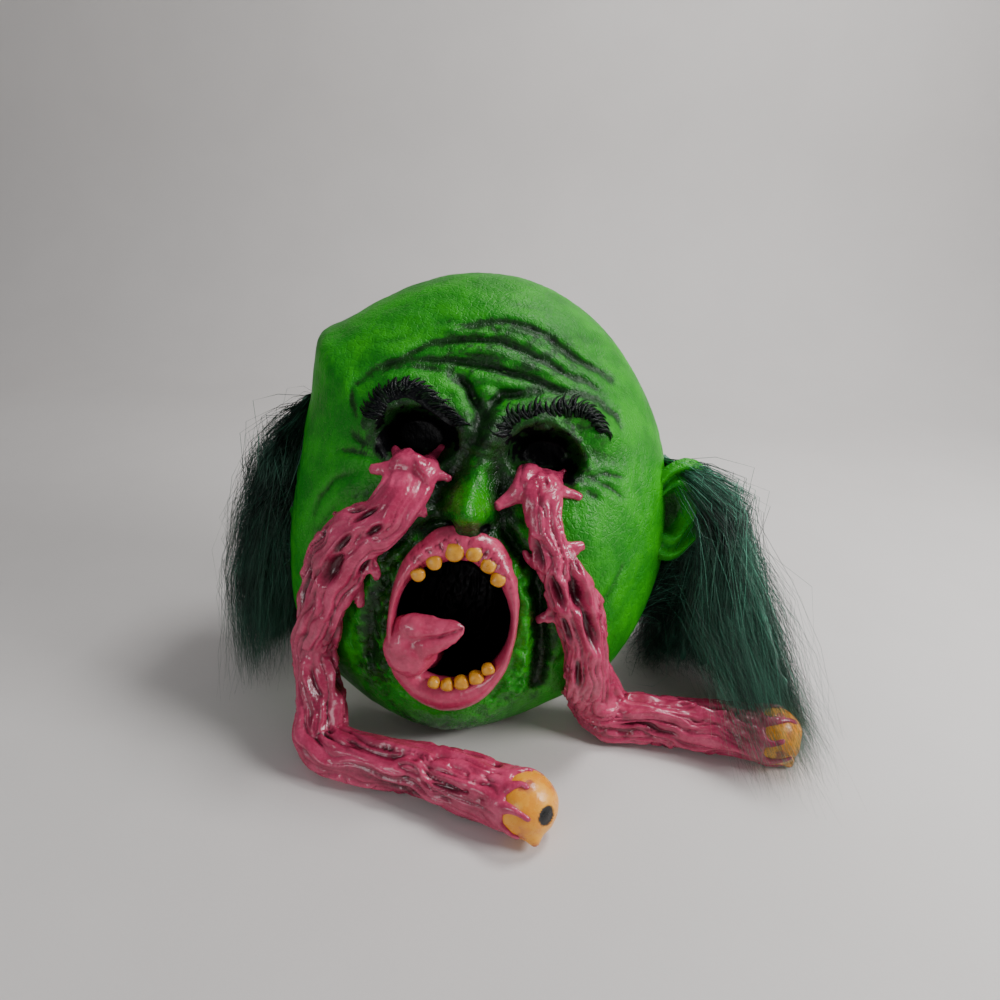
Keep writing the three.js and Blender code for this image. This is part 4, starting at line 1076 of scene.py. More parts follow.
ear("earRight", 1, {"centre": (1.05, 0.66, 0.35), "reach": 48, "height": 64, "thick": 9, "helix": 4,
                    "concha": 6.5, "flare": 0.12})
ear("earLeft", -1, {"centre": (-1.0, 0.85, 0.1), "reach": 50, "height": 88, "thick": 9, "helix": 5,
                    "concha": 7, "flare": 1.2})
print("ears shaped")


def lips():
    size = {"depth": 9, "thick": 9.5, "thin": 2.2, "around": 220, "section": 36, "tube": 0.25}
    piece = added("lips", "torus", major_segments=size["around"], minor_segments=size["section"],
                  major_radius=1, minor_radius=size["tube"])
    ring = corners(piece)
    angle = np.arctan2(ring[:, 1], ring[:, 0])
    radial = (np.hypot(ring[:, 0], ring[:, 1]) - 1) / size["tube"]
    front = ring[:, 2] / size["tube"]
    tall = np.abs(np.sin(angle)) ** 2
    half = blend(size["thin"], size["thick"], tall)
    mouth = face["mouth"]
    x = mouth["x"] + (mouth["across"] + 0.9 * half / halfWidth) * np.cos(angle)
    h = mouth["h"] + (mouth["up"] + 0.85 * half / halfHeight) * np.sin(angle)
    centre = onMouthPlane(x, h, -size["depth"] / 3)
    out = centre - onMouthPlane(mouth["x"], mouth["h"])
    out[:, 1] = 0
    out = unit(out)
    upper = smoothStep(-0.2, 0.5, np.sin(angle))
    arc = angle * 45
    crease = noiseAt(np.stack([arc, 6 * radial * half / 9, 0 * angle], axis=-1), 5.5, 3, 9.1)
    fold = (1 - np.clip(np.abs(crease) * 7, 0, 1)) * (0.25 + 0.75 * upper)
    swell = 1 + 0.14 * noiseAt(np.stack([arc, 0 * angle, 0 * angle], axis=-1), 14, 2, 2.9)
    rim = smoothStep(0.1, 0.9, front)
    reach = half * swell
    points = centre + out * (reach * radial)[:, None]
    points[:, 1] -= size["depth"] * front - 2.0 * fold * rim * tall
    points[:, 1] += 1.2 * upper * rim * smoothStep(0.35, 1, np.abs(radial))
    u, v = findPlace(points[:, 0] / halfWidth, points[:, 2] / halfHeight)
    points[:, 1] = np.minimum(points[:, 1], sculptedSkin(u, v)[:, 1] + deepest)
    moveCorners(piece, toTable(points))
    edited(piece, ("normals_make_consistent", {"inside": False}))
    # Creases are darkened, dark wash and painted shade; the rear of the lip, toward the skin and the mouth, is
    # painted shade; the thin sides are darker.
    washAndShade = 0.9 * fold * tall * (0.3 + 0.7 * upper) + 0.45 * (1 - smoothStep(-0.1, 0.5, front))
    marked(piece, "washAndShade", washAndShade + 0.25 * (1 - tall) - 0.04)
    return finished(piece, lipLatex, "pink_latex", "lip_ring")


lips()


def teeth():
    size = {"width": 9, "height": 8.8, "depth": 7.5, "lift": 0.35 * 9}
    rows = {
        "upper": [(-0.23, -0.015, 0.85), (-0.165, 0.045, 0.95), (-0.08, 0.1, 1.2), (0.01, 0.105, 1.05),
                  (0.085, 0.065, 0.95), (0.14, 0.015, 0.95)],
        "lower": [(-0.085, -0.465, 0.75), (-0.02, -0.465, 0.8), (0.045, -0.445, 0.9), (0.11, -0.415, 0.9),
                  (0.16, -0.37, 0.8)],
    }
    for row, places in rows.items():
        down = -1 if row == "upper" else 1
        for i, (x, h, share) in enumerate(places):
            piece = added(f"{row}Tooth{i + 1}", "uv_sphere", segments=36, ring_count=24, radius=1)
            ball = corners(piece)
            shape = np.sign(ball) * np.abs(ball) ** (0.8, 0.9, 0.78)
            shape[:, 0] *= 1 - 0.12 * shape[:, 2] * down
            shape *= np.array([size["width"] * share, size["depth"], size["height"] * share]) / 2
            shape += 0.4 * noiseAt(ball + i, 1.1, 2, 3.3 + i)[:, None] * ball
            dx = (face["mouth"]["x"] - x) * halfWidth
            dh = (face["mouth"]["h"] - h) * halfHeight
            tilt = 0.55 * math.atan2(dx * down, abs(dh))
            turn = np.array(Matrix.Rotation(tilt, 3, "Y"))
            moveCorners(piece, toTable(shape @ turn.T + onMouthPlane(x, h, size["lift"])))
            # The teeth darken towards the gum.
            marked(piece, "washAndShade", 0.55 * smoothStep(0.2, 1.0, -down * ball[:, 2]))
            finished(piece, toothPaint, "tooth", f"{row}_tooth_{i + 1}")


teeth()
print("lips and teeth set")


def followed(rows, count, points):
    places = np.linspace(0, len(rows) - 1, count)
    middle, tangent, wide, thick = sweepFrame(rows, places)
    tree = KDTree(count)
    for i, point in enumerate(middle):
        tree.insert(point, i)
    tree.balance()
    found = np.array([tree.find(point)[1] for point in points])
    away = points - middle[found]
    run = np.concatenate([[0], np.cumsum(np.linalg.norm(np.diff(middle, axis=0), axis=1))])
    return {
        "across": np.sum(away * wide[found], axis=1), "over": np.sum(away * thick[found], axis=1),
        "run": run[found] + np.sum(away * tangent[found], axis=1), "share": found / count,
        "half": columnAt([row["width"] for row in rows], places)[found],
        "away": unit(away), "thick": thick[found],
    }


def tongue():
    size = {"width": 24, "thick": 13, "lobe": (15.5, 9, 17), "lobeAt": (-0.22, -0.335),
            "hump": (9, 6.5, 7.5), "humpAt": (-0.215, -0.24), "voxel": 0.7}
    rows = table("x h sunk width thick", [
        (-0.08, -0.38, 0.72, 0.8, 1.0), (-0.15, -0.38, 0.45, 1.0, 1.1), (-0.22, -0.36, 0.12, 1.2, 1.1),
        (-0.215, -0.3, -0.02, 1.25, 0.9), (-0.15, -0.265, -0.06, 1.0, 0.75),
        (-0.09, -0.25, -0.07, 0.78, 0.58), (-0.03, -0.225, -0.06, 0.55, 0.42), (0.02, -0.2, -0.04, 0.3, 0.28),
    ])
    for row in rows:
        row["centre"] = toTable(onMouthPlane(row["x"], row["h"], -row["sunk"] * face["mouthDepth"])) / mm
        row["normal"] = turned((0, -1.0, 0.15))
        row["width"] = row["width"] * size["width"] / 2
        row["thick"] = row["thick"] * size["thick"] / 2
    piece = swept("tongueFlesh", rows, 72, 110, 0.1)
    lobe = added("lobe", "uv_sphere", segments=48, ring_count=32, radius=1)
    moveCorners(lobe, toTable(corners(lobe) * size["lobe"] + onMouthPlane(*size["lobeAt"], -0.5)))
    hump = added("hump", "uv_sphere", segments=40, ring_count=28, radius=1)
    moveCorners(hump, toTable(corners(hump) * size["hump"] + onMouthPlane(*size["humpAt"], 1.5)))
    piece = joined("tongueFlesh", [piece, lobe, hump])
    modified(piece, "REMESH", mode="VOXEL", voxel_size=size["voxel"] * mm, adaptivity=0)
    modified(piece, "SMOOTH", factor=0.5, iterations=8)
    points = corners(piece) / mm
    near = followed(rows, 200, points)
    share = near["share"]
    groove = bell(near["across"] - 1.0, 1.5) * smoothStep(0, 3, near["over"])
    groove = groove * smoothStep(0.4, 0.6, share) * (1 - smoothStep(0.85, 0.97, share))
    ragged = smoothStep(0.72, 1.0, share) * noiseAt(points, 2.6, 2, 8.1)
    lumps = noiseAt(points, 9, 3, 4.1)
    swollen = near["away"] * (0.9 * lumps + 0.5 * ragged)[:, None]
    moveCorners(piece, (points - near["thick"] * (1.9 * groove)[:, None] + swollen) * mm)
    # Painted shade: the root of the tongue, deep in the mouth, is darkened; the groove and dents are darkened
    # too.
    inMouth = 1 - smoothStep(0.05, 0.3, share)
    washAndShade = 0.45 * groove + 0.3 * np.clip(-lumps * 2, 0, 1) + 0.6 * inMouth
    marked(piece, "washAndShade", washAndShade + 0.5 * np.clip(-ragged, 0, 1))
    return finished(piece, lipLatex, "pink_latex", "tongue")


tongue()
print("tongue set")


def bentCopies(name, template, paths, radii, flat=1.0):
    # The template's corners run up Z from -1 to 1, and each path holds the places that one copy goes through.
    shape, faces = template
    levels, level = np.unique(np.round(shape[:, 2], 4), return_inverse=True)
    place = (levels + 1) / 2 * (paths.shape[1] - 1)
    i = np.clip(np.floor(place).astype(int), 0, paths.shape[1] - 2)
    t = (place - i)[None, :, None]
    middle = paths[:, i] * (1 - t) + paths[:, i + 1] * t
    ahead = unit(paths[:, i + 1] - paths[:, i])
    helper = np.where(np.abs(ahead[..., 2:3]) > 0.8, np.array([1.0, 0, 0]), np.array([0, 0, 1.0]))
    side = unit(np.cross(ahead, helper))
    over = np.cross(side, ahead)
    width = radii[:, None, None]
    points = (middle[:, level] + side[:, level] * shape[None, :, 0:1] * width +
              over[:, level] * shape[None, :, 1:2] * width * flat)
    count, each = points.shape[0], len(shape)
    sizes = np.tile([len(corner) for corner in faces], count)
    loops = (np.concatenate(faces)[None, :] + np.arange(count)[:, None] * each).ravel()
    mesh = bpy.data.meshes.new(name)
    mesh.vertices.add(count * each)
    mesh.vertices.foreach_set("co", points.ravel())
    mesh.loops.add(len(loops))
    mesh.loops.foreach_set("vertex_index", loops.astype(np.int32))
    mesh.polygons.add(len(sizes))
    mesh.polygons.foreach_set("loop_start", (np.cumsum(sizes) - sizes).astype(np.int32))
    mesh.update(calc_edges=True)
    piece = bpy.data.objects.new(name, mesh)
    bpy.context.scene.collection.objects.link(piece)
    return piece


def coneTemplate(sides, rings, full=1.0):
    tip = 0.12
    piece = added("template", "cone", vertices=sides, radius1=1, radius2=tip, depth=2, end_fill_type="NGON")
    for k in range(1, rings):
        edited(piece, ("bisect", {"plane_co": (0, 0, -1 + 2 * k / rings), "plane_no": (0, 0, 1)}))
    shape = corners(piece)
    share = (shape[:, 2] + 1) / 2
    shape[:, :2] *= ((1 - (1 - tip) * share ** full) / (1 - (1 - tip) * share))[:, None]
    faces = [list(polygon.vertices) for polygon in piece.data.polygons]
    bpy.data.objects.remove(piece)
    return shape, faces


bristleTemplate = coneTemplate(6, 6, 2.6)
hairTemplate = coneTemplate(3, 6)


def eyebrow(name, line, node, settings):
    last = len(line) - 1
    count = settings["count"]
    stops = np.array([(x, h, 0) for x, h in line])
    places = (np.arange(count) + chance.uniform(-0.4, 0.4, count)).clip(0, count - 1) / (count - 1) * last
    base = curveThrough(stops, places)
    ahead = curveThrough(stops, np.clip(places + 0.1, 0, last))
    step = ahead - curveThrough(stops, np.clip(places - 0.1, 0, last))
    heading = np.arctan2(step[:, 1] * halfHeight, step[:, 0] * halfWidth)
    row = np.arange(count) % settings["rows"]
    direction = heading + np.pi / 2 + columnAt(settings["lean"], places) + chance.normal(0, 0.28, count)
    length = settings["length"] * chance.uniform(0.8, 1.2, count)
    start = (row - 0.5 * settings["rows"]) * settings["spread"] - 1.5
    paths = np.zeros((count, 7, 3))
    for k in range(7):
        t = k / 6
        bend = direction + settings["curl"] * t * t
        along = start + length * t
        x = base[:, 0] + np.cos(bend) * along / halfWidth
        h = base[:, 1] + np.sin(bend) * along / halfHeight
        lift = settings["lift"] * (0.15 + math.sin(math.pi * (0.1 + 0.85 * t))) + 0.2 * row
        paths[:, k] = toTable(onFace(x, h, lift))
    radii = settings["radius"] * chance.uniform(0.7, 1.25, count) * mm
    tufts = bentCopies(name + "Tufts", bristleTemplate, paths, radii, 0.8)
    marked(tufts, "shade", np.repeat(chance.uniform(0, 1, count), len(bristleTemplate[0])))
    rows = []
    for (x, h), width in zip(line, settings["core"]):
        rows.append({"centre": toTable(onFace(x, h - 0.008, 0.2)) / mm, "normal": turned(faceNormal(x, h)),
                     "width": width, "thick": 0.35 * width})
    core = swept(name, rows, 24, 120, 0.06)
    points = corners(core) / mm
    rough = 0.7 * noiseAt(points, 2.5, 2, 4.0)[:, None] * turned(faceNormal(*line[2]))
    moveCorners(core, (points + rough) * mm)
    marked(core, "shade", np.zeros(len(points)))
    piece = joined(name, [core, tufts])
    return finished(piece, bristlePaint, "bristle", node)


eyebrow("eyebrowLeft", browLines["left"], "eyebrow_left", {
    "count": 84, "rows": 2, "length": 9.5, "spread": 3.6, "curl": -0.4, "lift": 1.7, "radius": 1.2,
    "lean": (0.5, 0.2, -0.2, -0.5, -0.7, -0.9), "core": (3.2, 4.6, 5.2, 5.2, 5.0, 3.2)})
eyebrow("eyebrowRight", browLines["right"], "eyebrow_right", {
    "count": 66, "rows": 2, "length": 9.5, "spread": 3.4, "curl": -0.7, "lift": 1.7, "radius": 1.15,
    "lean": (0.3, 0.35, 0.25, 0.1, -0.3, -0.9), "core": (4.2, 3.8, 2.4, 2.4, 3.2, 3.4)})
print("eyebrows laid")


def strandRows(strand):
    bend, along, eye = eyePlace(strand)
    rows = []
    for row in strand["cheek"]:
        thick = row["thick"] * strands["thick"] / 2
        centre = toTable(onFace(row["x"], row["h"], 0.7 * thick)) / mm
        normal = turned(faceNormal(row["x"], row["h"]))
        rows.append({"centre": centre, "normal": normal, "width": row["width"] * strands["width"] / 2,
                     "thick": thick, "under": 0.75 * thick})
    sideways = np.cross([0, 0, 1], along)
    for row in strand["table"]:
        width, thick = row["width"] * strands["width"] / 2, row["thick"] * strands["width"] / 2
        centre = bend + along * row["along"] * strand["run"] + sideways * row["side"] * strands["width"]
        centre[2] = thick - casting["footTrim"] + row["lift"] * strands["width"]
        normal = unit(np.array([0, -2.0 if row["lift"] > 0 else 0.0, 1.0]))
        rows.append({"centre": centre + shift, "normal": normal, "width": width, "thick": thick})
    end = eye - along * strands["eyeRadius"] * 0.2 + shift
    rows.append({"centre": end, "normal": np.array([0, 0, 1.0]), "width": strands["eyeRadius"] + 1.0,
                 "thick": strands["eyeRadius"] * 0.98})
    return rows


def eyeStrand(name, strand, node, seed):
    rows = strandRows(strand)
    pieces = [swept(name, rows, 64, 240, 0.012)]
    along, eye = eyePlace(strand)[1:]
    for i, prong in enumerate(strand["prongs"]):
        radius = strands["prongRadius"] * prong["size"]
        start, tip = np.array(prong["from"]), np.array(prong["to"])
        stops = []
        for t, size in ((-0.35, 1.9), (0.1, 1.3), (0.45, 0.75), (0.8, 0.5), (1.0, 0.5)):
            spot = blend(start, tip, t) + (0.012 * math.sin(5 * t + i), 0.01 * math.cos(4 * t + i))
            centre = toTable(onFace(spot[0], spot[1], 0.3 * radius * size)) / mm
            stops.append({"centre": centre, "normal": turned(faceNormal(*spot)),
                          "width": 1.15 * radius * size, "thick": 0.9 * radius * size})
        pieces.append(swept(f"{name}Prong{i}", stops, 20, 24, 0.12))
    # Drips that reach over the eyeball.
    centre = eye + shift
    up = np.array([0, 0, 1.0])
    sideways = np.cross(up, along)
    for i in range(strands["drips"]):
        swing = 2 * math.pi * i / strands["drips"] + 0.35 + seed
        out = up * math.sin(swing) + sideways * math.cos(swing)
        reach = chance.uniform(-0.02, 0.5)
        stops = []
        for t, size in ((0.0, 1.9), (0.3, 1.2), (0.65, 0.75), (1.0, 0.85)):
            lean = blend(-0.4, reach, t)
            direction = out * math.cos(lean * math.pi / 2) + along * math.sin(lean * math.pi / 2)
            direction = unit(direction + np.cross(along, out) * 0.12 * math.sin(4 * t + i))
            stops.append({"centre": centre + direction * (strands["eyeRadius"] + 0.2), "normal": direction,
                          "width": 2.4 * size, "thick": 1.8 * size})
        pieces.append(swept(f"{name}Drip{i}", stops, 14, 16, 0.2))
    piece = joined(name, pieces)
    modified(piece, "REMESH", mode="VOXEL", voxel_size=strands["voxel"] * mm, adaptivity=0)
    modified(piece, "SMOOTH", factor=0.5, iterations=4)

    points = corners(piece) / mm
    near = followed(rows, 500, points)
    across, over, run = near["across"], near["over"], near["run"]
    spin = run / strands["twist"]
    a = across * np.cos(spin) - over * np.sin(spin)
    b = across * np.sin(spin) + over * np.cos(spin)
    warp = noiseAt(points, 26, 2, 1.9 + seed)

    def fibre(stretch, size, offset):
        drawn = np.stack([run / stretch, (a + 6 * warp) / size, (b + 6 * warp) / size], axis=-1)
        return noiseAt(drawn, 1, 2, offset + seed)

    fromEye = np.linalg.norm(points - centre, axis=1) - strands["eyeRadius"]
    body = (1 - smoothStep(1.0, 1.5, np.hypot(across, over) / near["half"])) * smoothStep(0.5, 9, fromEye)
    body = body * blend(0.25, 1.0, smoothStep(10, 45, run))
    wideCut = 1 - smoothStep(0.0, 0.2, np.abs(fibre(130, 6.5, 2.0)))
    fineCut = 1 - smoothStep(0.0, 0.22, np.abs(fibre(60, 3.6, 6.0)))
    pits = smoothStep(0.47, 0.62, fibre(44, 5.0, 11.0))
    swell = fibre(60, 9, 17.0)
    # Cuts, pits and sunk hollows between the fibres are darkened: dark wash and painted shade in them.
    depth = (strands["cutDepth"] * wideCut + strands["fineDepth"] * fineCut + strands["pitDepth"] * pits -
             strands["swellDepth"] * swell) * body
    washAndShade = (0.46 * wideCut + 0.16 * fineCut + 0.5 * pits) * body + 0.35 * np.clip(-swell * 2, 0, 1) * body

    # Hollows between the pulled fibres, placed on the face.
    inFace = (points - faceCentre - shift) @ standing
    middles = [(row["centre"] - faceCentre - shift) @ standing for row in rows]
    route = curveThrough(middles, np.linspace(0, 7, 50))
    step = np.gradient(route, axis=0)
    for hole in strand["holes"]:
        dx = inFace[:, 0] - hole["at"][0] * halfWidth
        dh = inFace[:, 2] - hole["at"][1] * halfHeight
        ahead = unit(step[np.argmin(fromPlace(route[:, 0], route[:, 2], hole["at"]))][[0, 2]])
        lengthwise = (dx * ahead[0] + dh * ahead[1]) / hole["long"]
        sideways = (dh * ahead[0] - dx * ahead[1]) / hole["wide"]
        sunk = np.exp(-(lengthwise ** 2 + sideways ** 2) ** 1.5) * (over > -2)
        rim = bell(np.hypot(lengthwise, sideways) - 1.35, 0.35) * (over > -2)
        depth = depth * (1 - 0.7 * sunk) + hole["deep"] * sunk - strands["rimRise"] * rim
        # Holes are darkened, painted shade in them, with less on their raised rims.
        washAndShade = washAndShade * (1 - 0.5 * rim) + 1.0 * sunk
    points = keptOff(points - cornerNormals(piece) * depth[:, None])
    points[:, 2] = np.maximum(points[:, 2], 0)
    moveCorners(piece, points * mm)
    modified(piece, "SMOOTH", factor=0.4, iterations=2)
    # Painted contact shadow: the strand darkens within 6 mm of the table.
    washAndShade = washAndShade + 0.3 * (1 - smoothStep(0, 6, points[:, 2]))
    marked(piece, "washAndShade", washAndShade)
    return finished(piece, pinkLatex, "pink_latex", node)


eyeStrand("eyeStrandLeft", strands["left"], "eye_strand_left", 0.0)
eyeStrand("eyeStrandRight", strands["right"], "eye_strand_right", 40.0)
print("strands pulled")


def eyeball(name, strand, node, gaze):
    piece = added(name, "uv_sphere", segments=96, ring_count=64, radius=1)
    ball = corners(piece)
    centre = eyePlace(strand)[2] + shift
    look = unit(np.array(gaze, float))
    below = unit(look + np.array([-0.35, -0.1, -0.85]))
    facing = ball @ look
    fromBump = np.arccos(np.clip(ball @ below, -1, 1))
    bump = 4.0 * bell(fromBump, 0.2)
    dimple = -0.7 * smoothStep(0.94, 0.975, facing)
    lumps = noiseAt(ball, 0.5, 2, 5.0)
    reach = strands["eyeRadius"] * (1 + 0.018 * lumps) + bump + dimple
    points = centre + ball * reach[:, None]
    points[:, 2] = np.maximum(points[:, 2], 0)
    moveCorners(piece, points * mm)
    marked(piece, "pupil", smoothStep(0.945, 0.955, facing))
    stains = 0.8 * smoothStep(0.15, 0.32, noiseAt(ball, 0.45, 2, 9.0)) * (1 - smoothStep(0.4, 0.8, facing))
    marked(piece, "washAndShade", stains + 0.9 * bell(fromBump, 0.1))
    return finished(piece, eyePaint, "eyeball", node)


eyeball("eyeballLeft", strands["left"], "eyeball_left", (0.62, -0.72, 0.3))
eyeball("eyeballRight", strands["right"], "eyeball_right", (0.9, -0.42, 0.1))
print("eyeballs set")

hairSides = {
    "left": {
        "side": -1, "top": 143, "bottom": 192, "swell": 1.2, "setBack": 0, "lock": 9,
        "rootOut": (0.86, 0.985), "coreOut": 0.93, "each": 5100, "loose": (0.15, 0.9), "seed": 5,
        # The left hair's dark value darkens all its hairs: painted shade on the side away from the light.
        "dark": 0.68, "coreEnd": 0.9,
        "overEar": 0, "foreTop": 0.0, "fallBack": 0,
        "tips": [(-1.34, 0.28), (-1.28, 0.6), (-1.2, 0.95), (-1.05, 1.2)],
    },
    "right": {
        "side": 1, "top": 36, "bottom": -14, "swell": 2, "setBack": 2.3, "lock": 9,
        "rootOut": (0.93, 0.99), "coreOut": 0.97, "each": 5100, "loose": (0.1, 0.45, 0.85), "seed": 6,
        "dark": 0.1, "coreEnd": 0.86,
        "overEar": 12, "foreTop": 0.08, "fallBack": 18,
        "tips": [(1.46, -0.52), (1.7, -0.2), (1.6, 0.3), (1.25, 0.65), (0.95, 0.95)],
    },
}


# How the hairs fall: each pair is a value for combed hair and what loose hair adds to it.
hairFall = {
    "locks": 26, "stray": (5, 6), "lift": (5, 10), "shortest": (0.82, -0.35), "drop": 20, "spread": (3.5, 8),
    "outer": (3, 5), "lowerOuter": (4, 5), "ripple": (1.2, 2.2), "fewestWaves": 7, "mostWaves": 19, "stops": 10,
}


def hairPaths(hair, count, loose):
    fall = {key: pair[0] + pair[1] * loose for key, pair in hairFall.items() if isinstance(pair, tuple)}
    share = chance.uniform(0, 1, count)
    locks = hairFall["locks"]
    lock = np.floor(share * locks + chance.normal(0, 0.7, count)).astype(int)
    lockNoise = np.random.default_rng(hair["seed"]).normal(0, 1, (locks + 6, 6))
    lockNoise = lockNoise[np.clip(lock + 2, 0, locks + 5)]
    turn = blend(hair["top"], hair["bottom"], share * 0.96 + 0.02)
    rootOut = chance.uniform(*hair["rootOut"], count) - hair["foreTop"] * (1 - smoothStep(0.0, 0.3, share))
    root = toTable(onSide(turn, rootOut, np.full(count, 0.5))) / mm
    tips = np.array(hair["tips"]) * (halfWidth, casting["depth"])
    place = np.clip(share + 0.07 * lockNoise[:, 0], 0, 1) * (len(tips) - 1)
    tip = np.zeros((count, 3))
    tip[:, :2] = columnAt(tips, place) + shift[:2] + 6 * lockNoise[:, 1:3]
    tip[:, :2] += chance.normal(0, fall["stray"], (count, 2))
    tip[:, 2] = 1 + np.abs(chance.normal(0, fall["lift"], count)) + 5 * np.abs(lockNoise[:, 3])
    short = chance.uniform(fall["shortest"], 1.0, count)[:, None]
    tip = blend(root, tip, short) - (0, 0, 1) * (1 - short) * hairFall["drop"]
    swell = hair["swell"] * hair["lock"] * hair["side"]
    back = hair["setBack"] * hair["lock"]
    spread = fall["spread"]
    upper = blend(root, tip, 0.25) + chance.normal(0, spread * 0.6, (count, 3)) + 3 * lockNoise[:, 3:6]
    upper[:, 0] += swell + hair["side"] * chance.uniform(-7, fall["outer"], count)
    upper[:, 1] += back * chance.uniform(0.6, 1.2, count) * smoothStep(0.0, 0.3, share)
    upper[:, 2] += hair["lock"] * chance.uniform(0.6, 1.3, count)
    overEar = (1 - smoothStep(0.0, 0.28, share)) * hair["overEar"]
    upper[:, 1] -= overEar
    upper[:, 2] += 0.45 * overEar
    lower = blend(root, tip, 0.65) + chance.normal(0, spread, (count, 3)) + 5 * lockNoise[:, 0:3]
    lower[:, 0] += 0.8 * swell + hair["side"] * chance.uniform(-9, fall["lowerOuter"], count)
    lower[:, 1] += 0.4 * back + 0.6 * overEar + hair["fallBack"]
    lower[:, 2] -= 0.46 * hair["fallBack"]
    stops = np.stack([2 * root - upper, root, upper, lower, tip, 2 * tip - lower], axis=1)
    paths = np.zeros((count, hairFall["stops"], 3))
    for k, t in enumerate(np.linspace(0, 3, hairFall["stops"])):
        i = min(int(t), 2)
        p0, p1, p2, p3 = (stops[:, i + j] for j in range(4))
        q = t - i
        paths[:, k] = 0.5 * (2 * p1 + (p2 - p0) * q + (2 * p0 - 5 * p1 + 4 * p2 - p3) * q ** 2 +
                             (3 * p1 - p0 - 3 * p2 + p3) * q ** 3)
    wave = chance.uniform(0, 2 * np.pi, (count, 1, 3))
    rings = np.linspace(0, 1, hairFall["stops"])[None, :, None]
    waves = chance.uniform(hairFall["fewestWaves"], hairFall["mostWaves"], (count, 1, 1))
    ripple = np.sin(rings * waves + wave)
    ripple *= chance.normal(0, fall["ripple"], (count, 1, 3))
    paths += ripple * rings
    paths[..., 2] = np.maximum(paths[..., 2], 0.4)
    return paths


def hairCore(name, hair, slotNode):
    pieces = []
    for i in range(9):
        share = i / 8
        turn = blend(hair["top"], hair["bottom"], share * 0.94 + 0.03)
        root = toTable(onSide(np.array([turn]), np.array([hair["coreOut"]]), np.array([2.0])))[0] / mm
        tips = np.array(hair["tips"]) * (halfWidth, casting["depth"])
        spot = columnAt(tips, np.array([blend(0.25, 1, share) * (len(tips) - 1)]))[0]
        tip = np.append(spot + shift[:2], 3.0)
        tip = blend(root, tip, hair["coreEnd"])
        out = np.array([hair["side"], 0, 0.0])
        lock = hair["lock"]
        back = hair["setBack"] * lock
        upper = blend(root, tip, 0.25) + out * hair["swell"] * lock * 0.75 + (0, back, lock * 0.4)
        lower = blend(root, tip, 0.65) + out * hair["swell"] * lock * 0.6 + (0, 0.4 * back, 0)
        near = blend(lower, tip, 0.6)
        rows = table("centre normal width thick", [
            (root, out, lock * 0.7, lock * 0.35), (upper, out, lock * 1.1, lock * 0.5),
            (lower, out, lock * 0.95, lock * 0.5), (near, out, lock * 0.6, lock * 0.35),
            (tip, out, lock * 0.15, lock * 0.15),
        ])
        pieces.append(swept(f"{name}Lock{i}", rows, 40, 60, 0.03))
    piece = joined(name, pieces)
    points = corners(piece) / mm
    combed = noiseAt(points * (1, 1, 0.12), 3.2, 2, 3.0)
    points = keptOff(points + cornerNormals(piece) * (1.6 * combed)[:, None])
    points[:, 2] = np.maximum(points[:, 2], 0.1)
    moveCorners(piece, points * mm)
    # Painted highlight on the combed ridges and painted shade in the furrows between them.
    marked(piece, "shade", 0.1 + 0.5 * np.clip(combed, 0, 1))
    return finished(piece, hairFibre, "hair", slotNode)


def hairSide(name, hair, node):
    hairCore(name + "Core", hair, node)
    margin = 9
    low, high = np.array(cadBox[0]) / mm - margin, np.array(cadBox[1]) / mm + margin
    low[2] = 0.3
    for k, loose in enumerate(hair["loose"]):
        paths = np.clip(hairPaths(hair, hair["each"], loose), low, high)
        radii = chance.uniform(0.13, 0.24, hair["each"]) * mm
        piece = bentCopies(f"{name}{k + 1}", hairTemplate, paths * mm, radii)
        streak = np.clip(0.55 + 1.6 * noiseAt(paths[:, 5] * (1, 1, 0.4), 7, 2, 21.0), 0.1, 1.4)
        # The side's dark value darkens its hairs; on the left it is painted shade.
        tone = chance.uniform(0, 1, hair["each"]) ** 3.4 * (1 - hair["dark"]) * (1.25 - 0.5 * loose)
        tone = tone * streak + 0.015
        marked(piece, "shade", np.repeat(tone, len(hairTemplate[0])))
        finished(piece, hairFibre, "hair", node)


hairSide("hairLeft", hairSides["left"], "hair_left")
hairSide("hairRight", hairSides["right"], "hair_right")
print("hair combed")


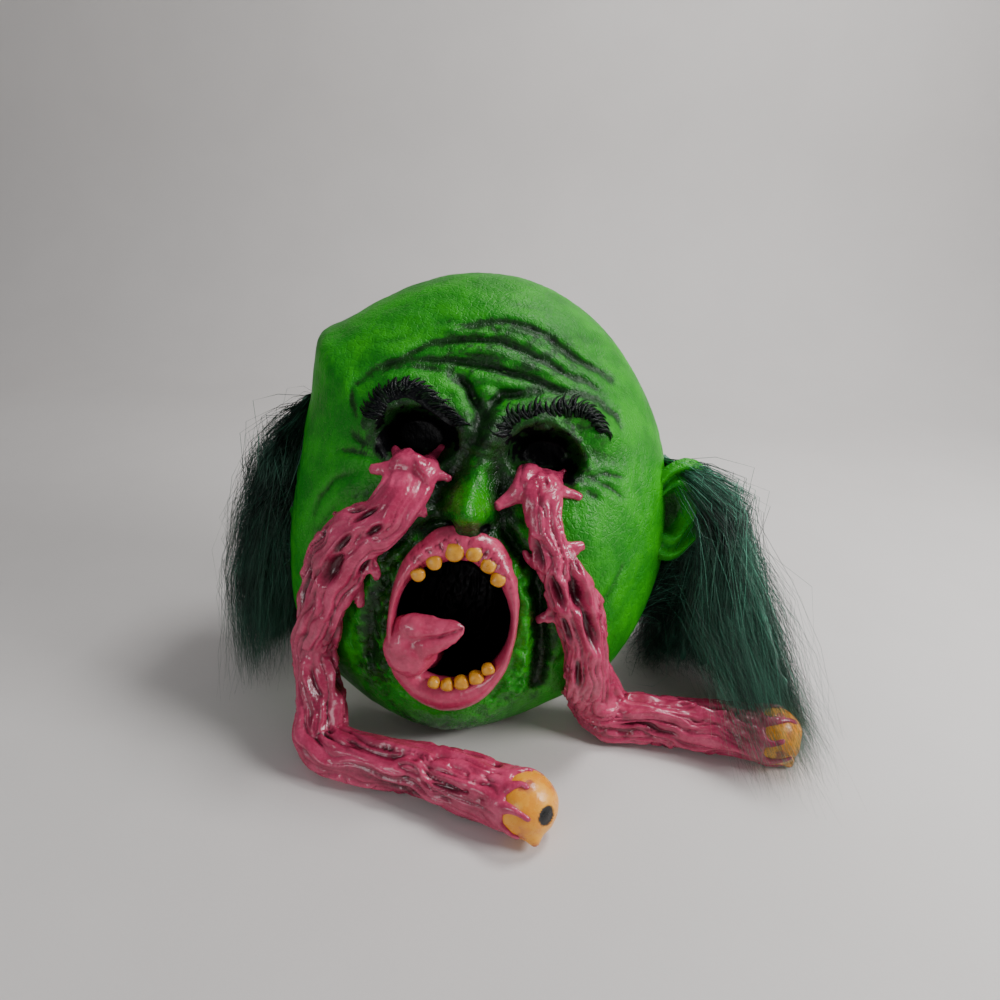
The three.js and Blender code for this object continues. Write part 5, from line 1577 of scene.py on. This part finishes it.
def plainPaper(name, colour, rough):
    made, shader, wire, place = material(name, {})
    tone = speckle(place, 0.12, 3).between(0.3, 0.7)
    wire.feed(shader.inputs["Base Color"], tone.colour(colour, tuple(c * 0.97 for c in colour[:3]) + (1,)))
    shader.inputs["Roughness"].default_value = rough
    bumped(wire, shader, speckle(place, 0.004, 3), 0.0003, 0.3)
    return made


def studio():
    room = {"width": 5000, "front": 2400, "back": 950, "bend": 350, "high": 1600, "cuts": 120}
    level = room["front"] + room["back"] - room["bend"]
    quarter = room["bend"] * math.pi / 2
    floor = sheet("floor", 8, room["cuts"])
    flat = corners(floor)
    run = (flat[:, 1] + 1) / 2 * (level + quarter + room["high"])
    turn = np.clip(run - level, 0, quarter) / room["bend"]
    points = np.zeros((len(flat), 3))
    points[:, 0] = flat[:, 0] * room["width"] / 2
    points[:, 1] = np.minimum(run, level) - room["front"] + room["bend"] * np.sin(turn)
    points[:, 2] = room["bend"] * (1 - np.cos(turn)) + np.maximum(run - level - quarter, 0)
    moveCorners(floor, points * mm)
    smoothShaded(floor)
    floor.data.materials.append(plainPaper("floorPaper", rgb(0.68, 0.65, 0.63), 0.75))


studio()


def lamp(name, at, target, size, power):
    light = bpy.data.lights.new(name, "AREA")
    light.shape = "RECTANGLE"
    light.size, light.size_y = size
    light.energy = power
    item = bpy.data.objects.new(name, light)
    bpy.context.scene.collection.objects.link(item)
    item.location = at
    item.rotation_euler = (Vector(target) - Vector(at)).to_track_quat("-Z", "Y").to_euler()
    item.visible_camera = False


lamp("windowLight", (0.8, -0.2, 0.6), (0.1, 0.05, 0.15), (0.34, 0.34), 8.5)
lamp("ceilingLight", (0.42, 0.32, 1.15), (0.15, 0.35, 0.0), (0.3, 0.3), 9)
lamp("fillLight", (-0.52, -0.72, 0.32), (0.0, 0.0, 0.12), (0.3, 0.3), 1.6)

world = bpy.data.worlds.new("studioAir")
world.use_nodes = True
air = world.node_tree.nodes["Background"].inputs
air["Color"].default_value = (0.93, 0.95, 1, 1)
air["Strength"].default_value = 0.22
bpy.context.scene.world = world
print("studio lit")
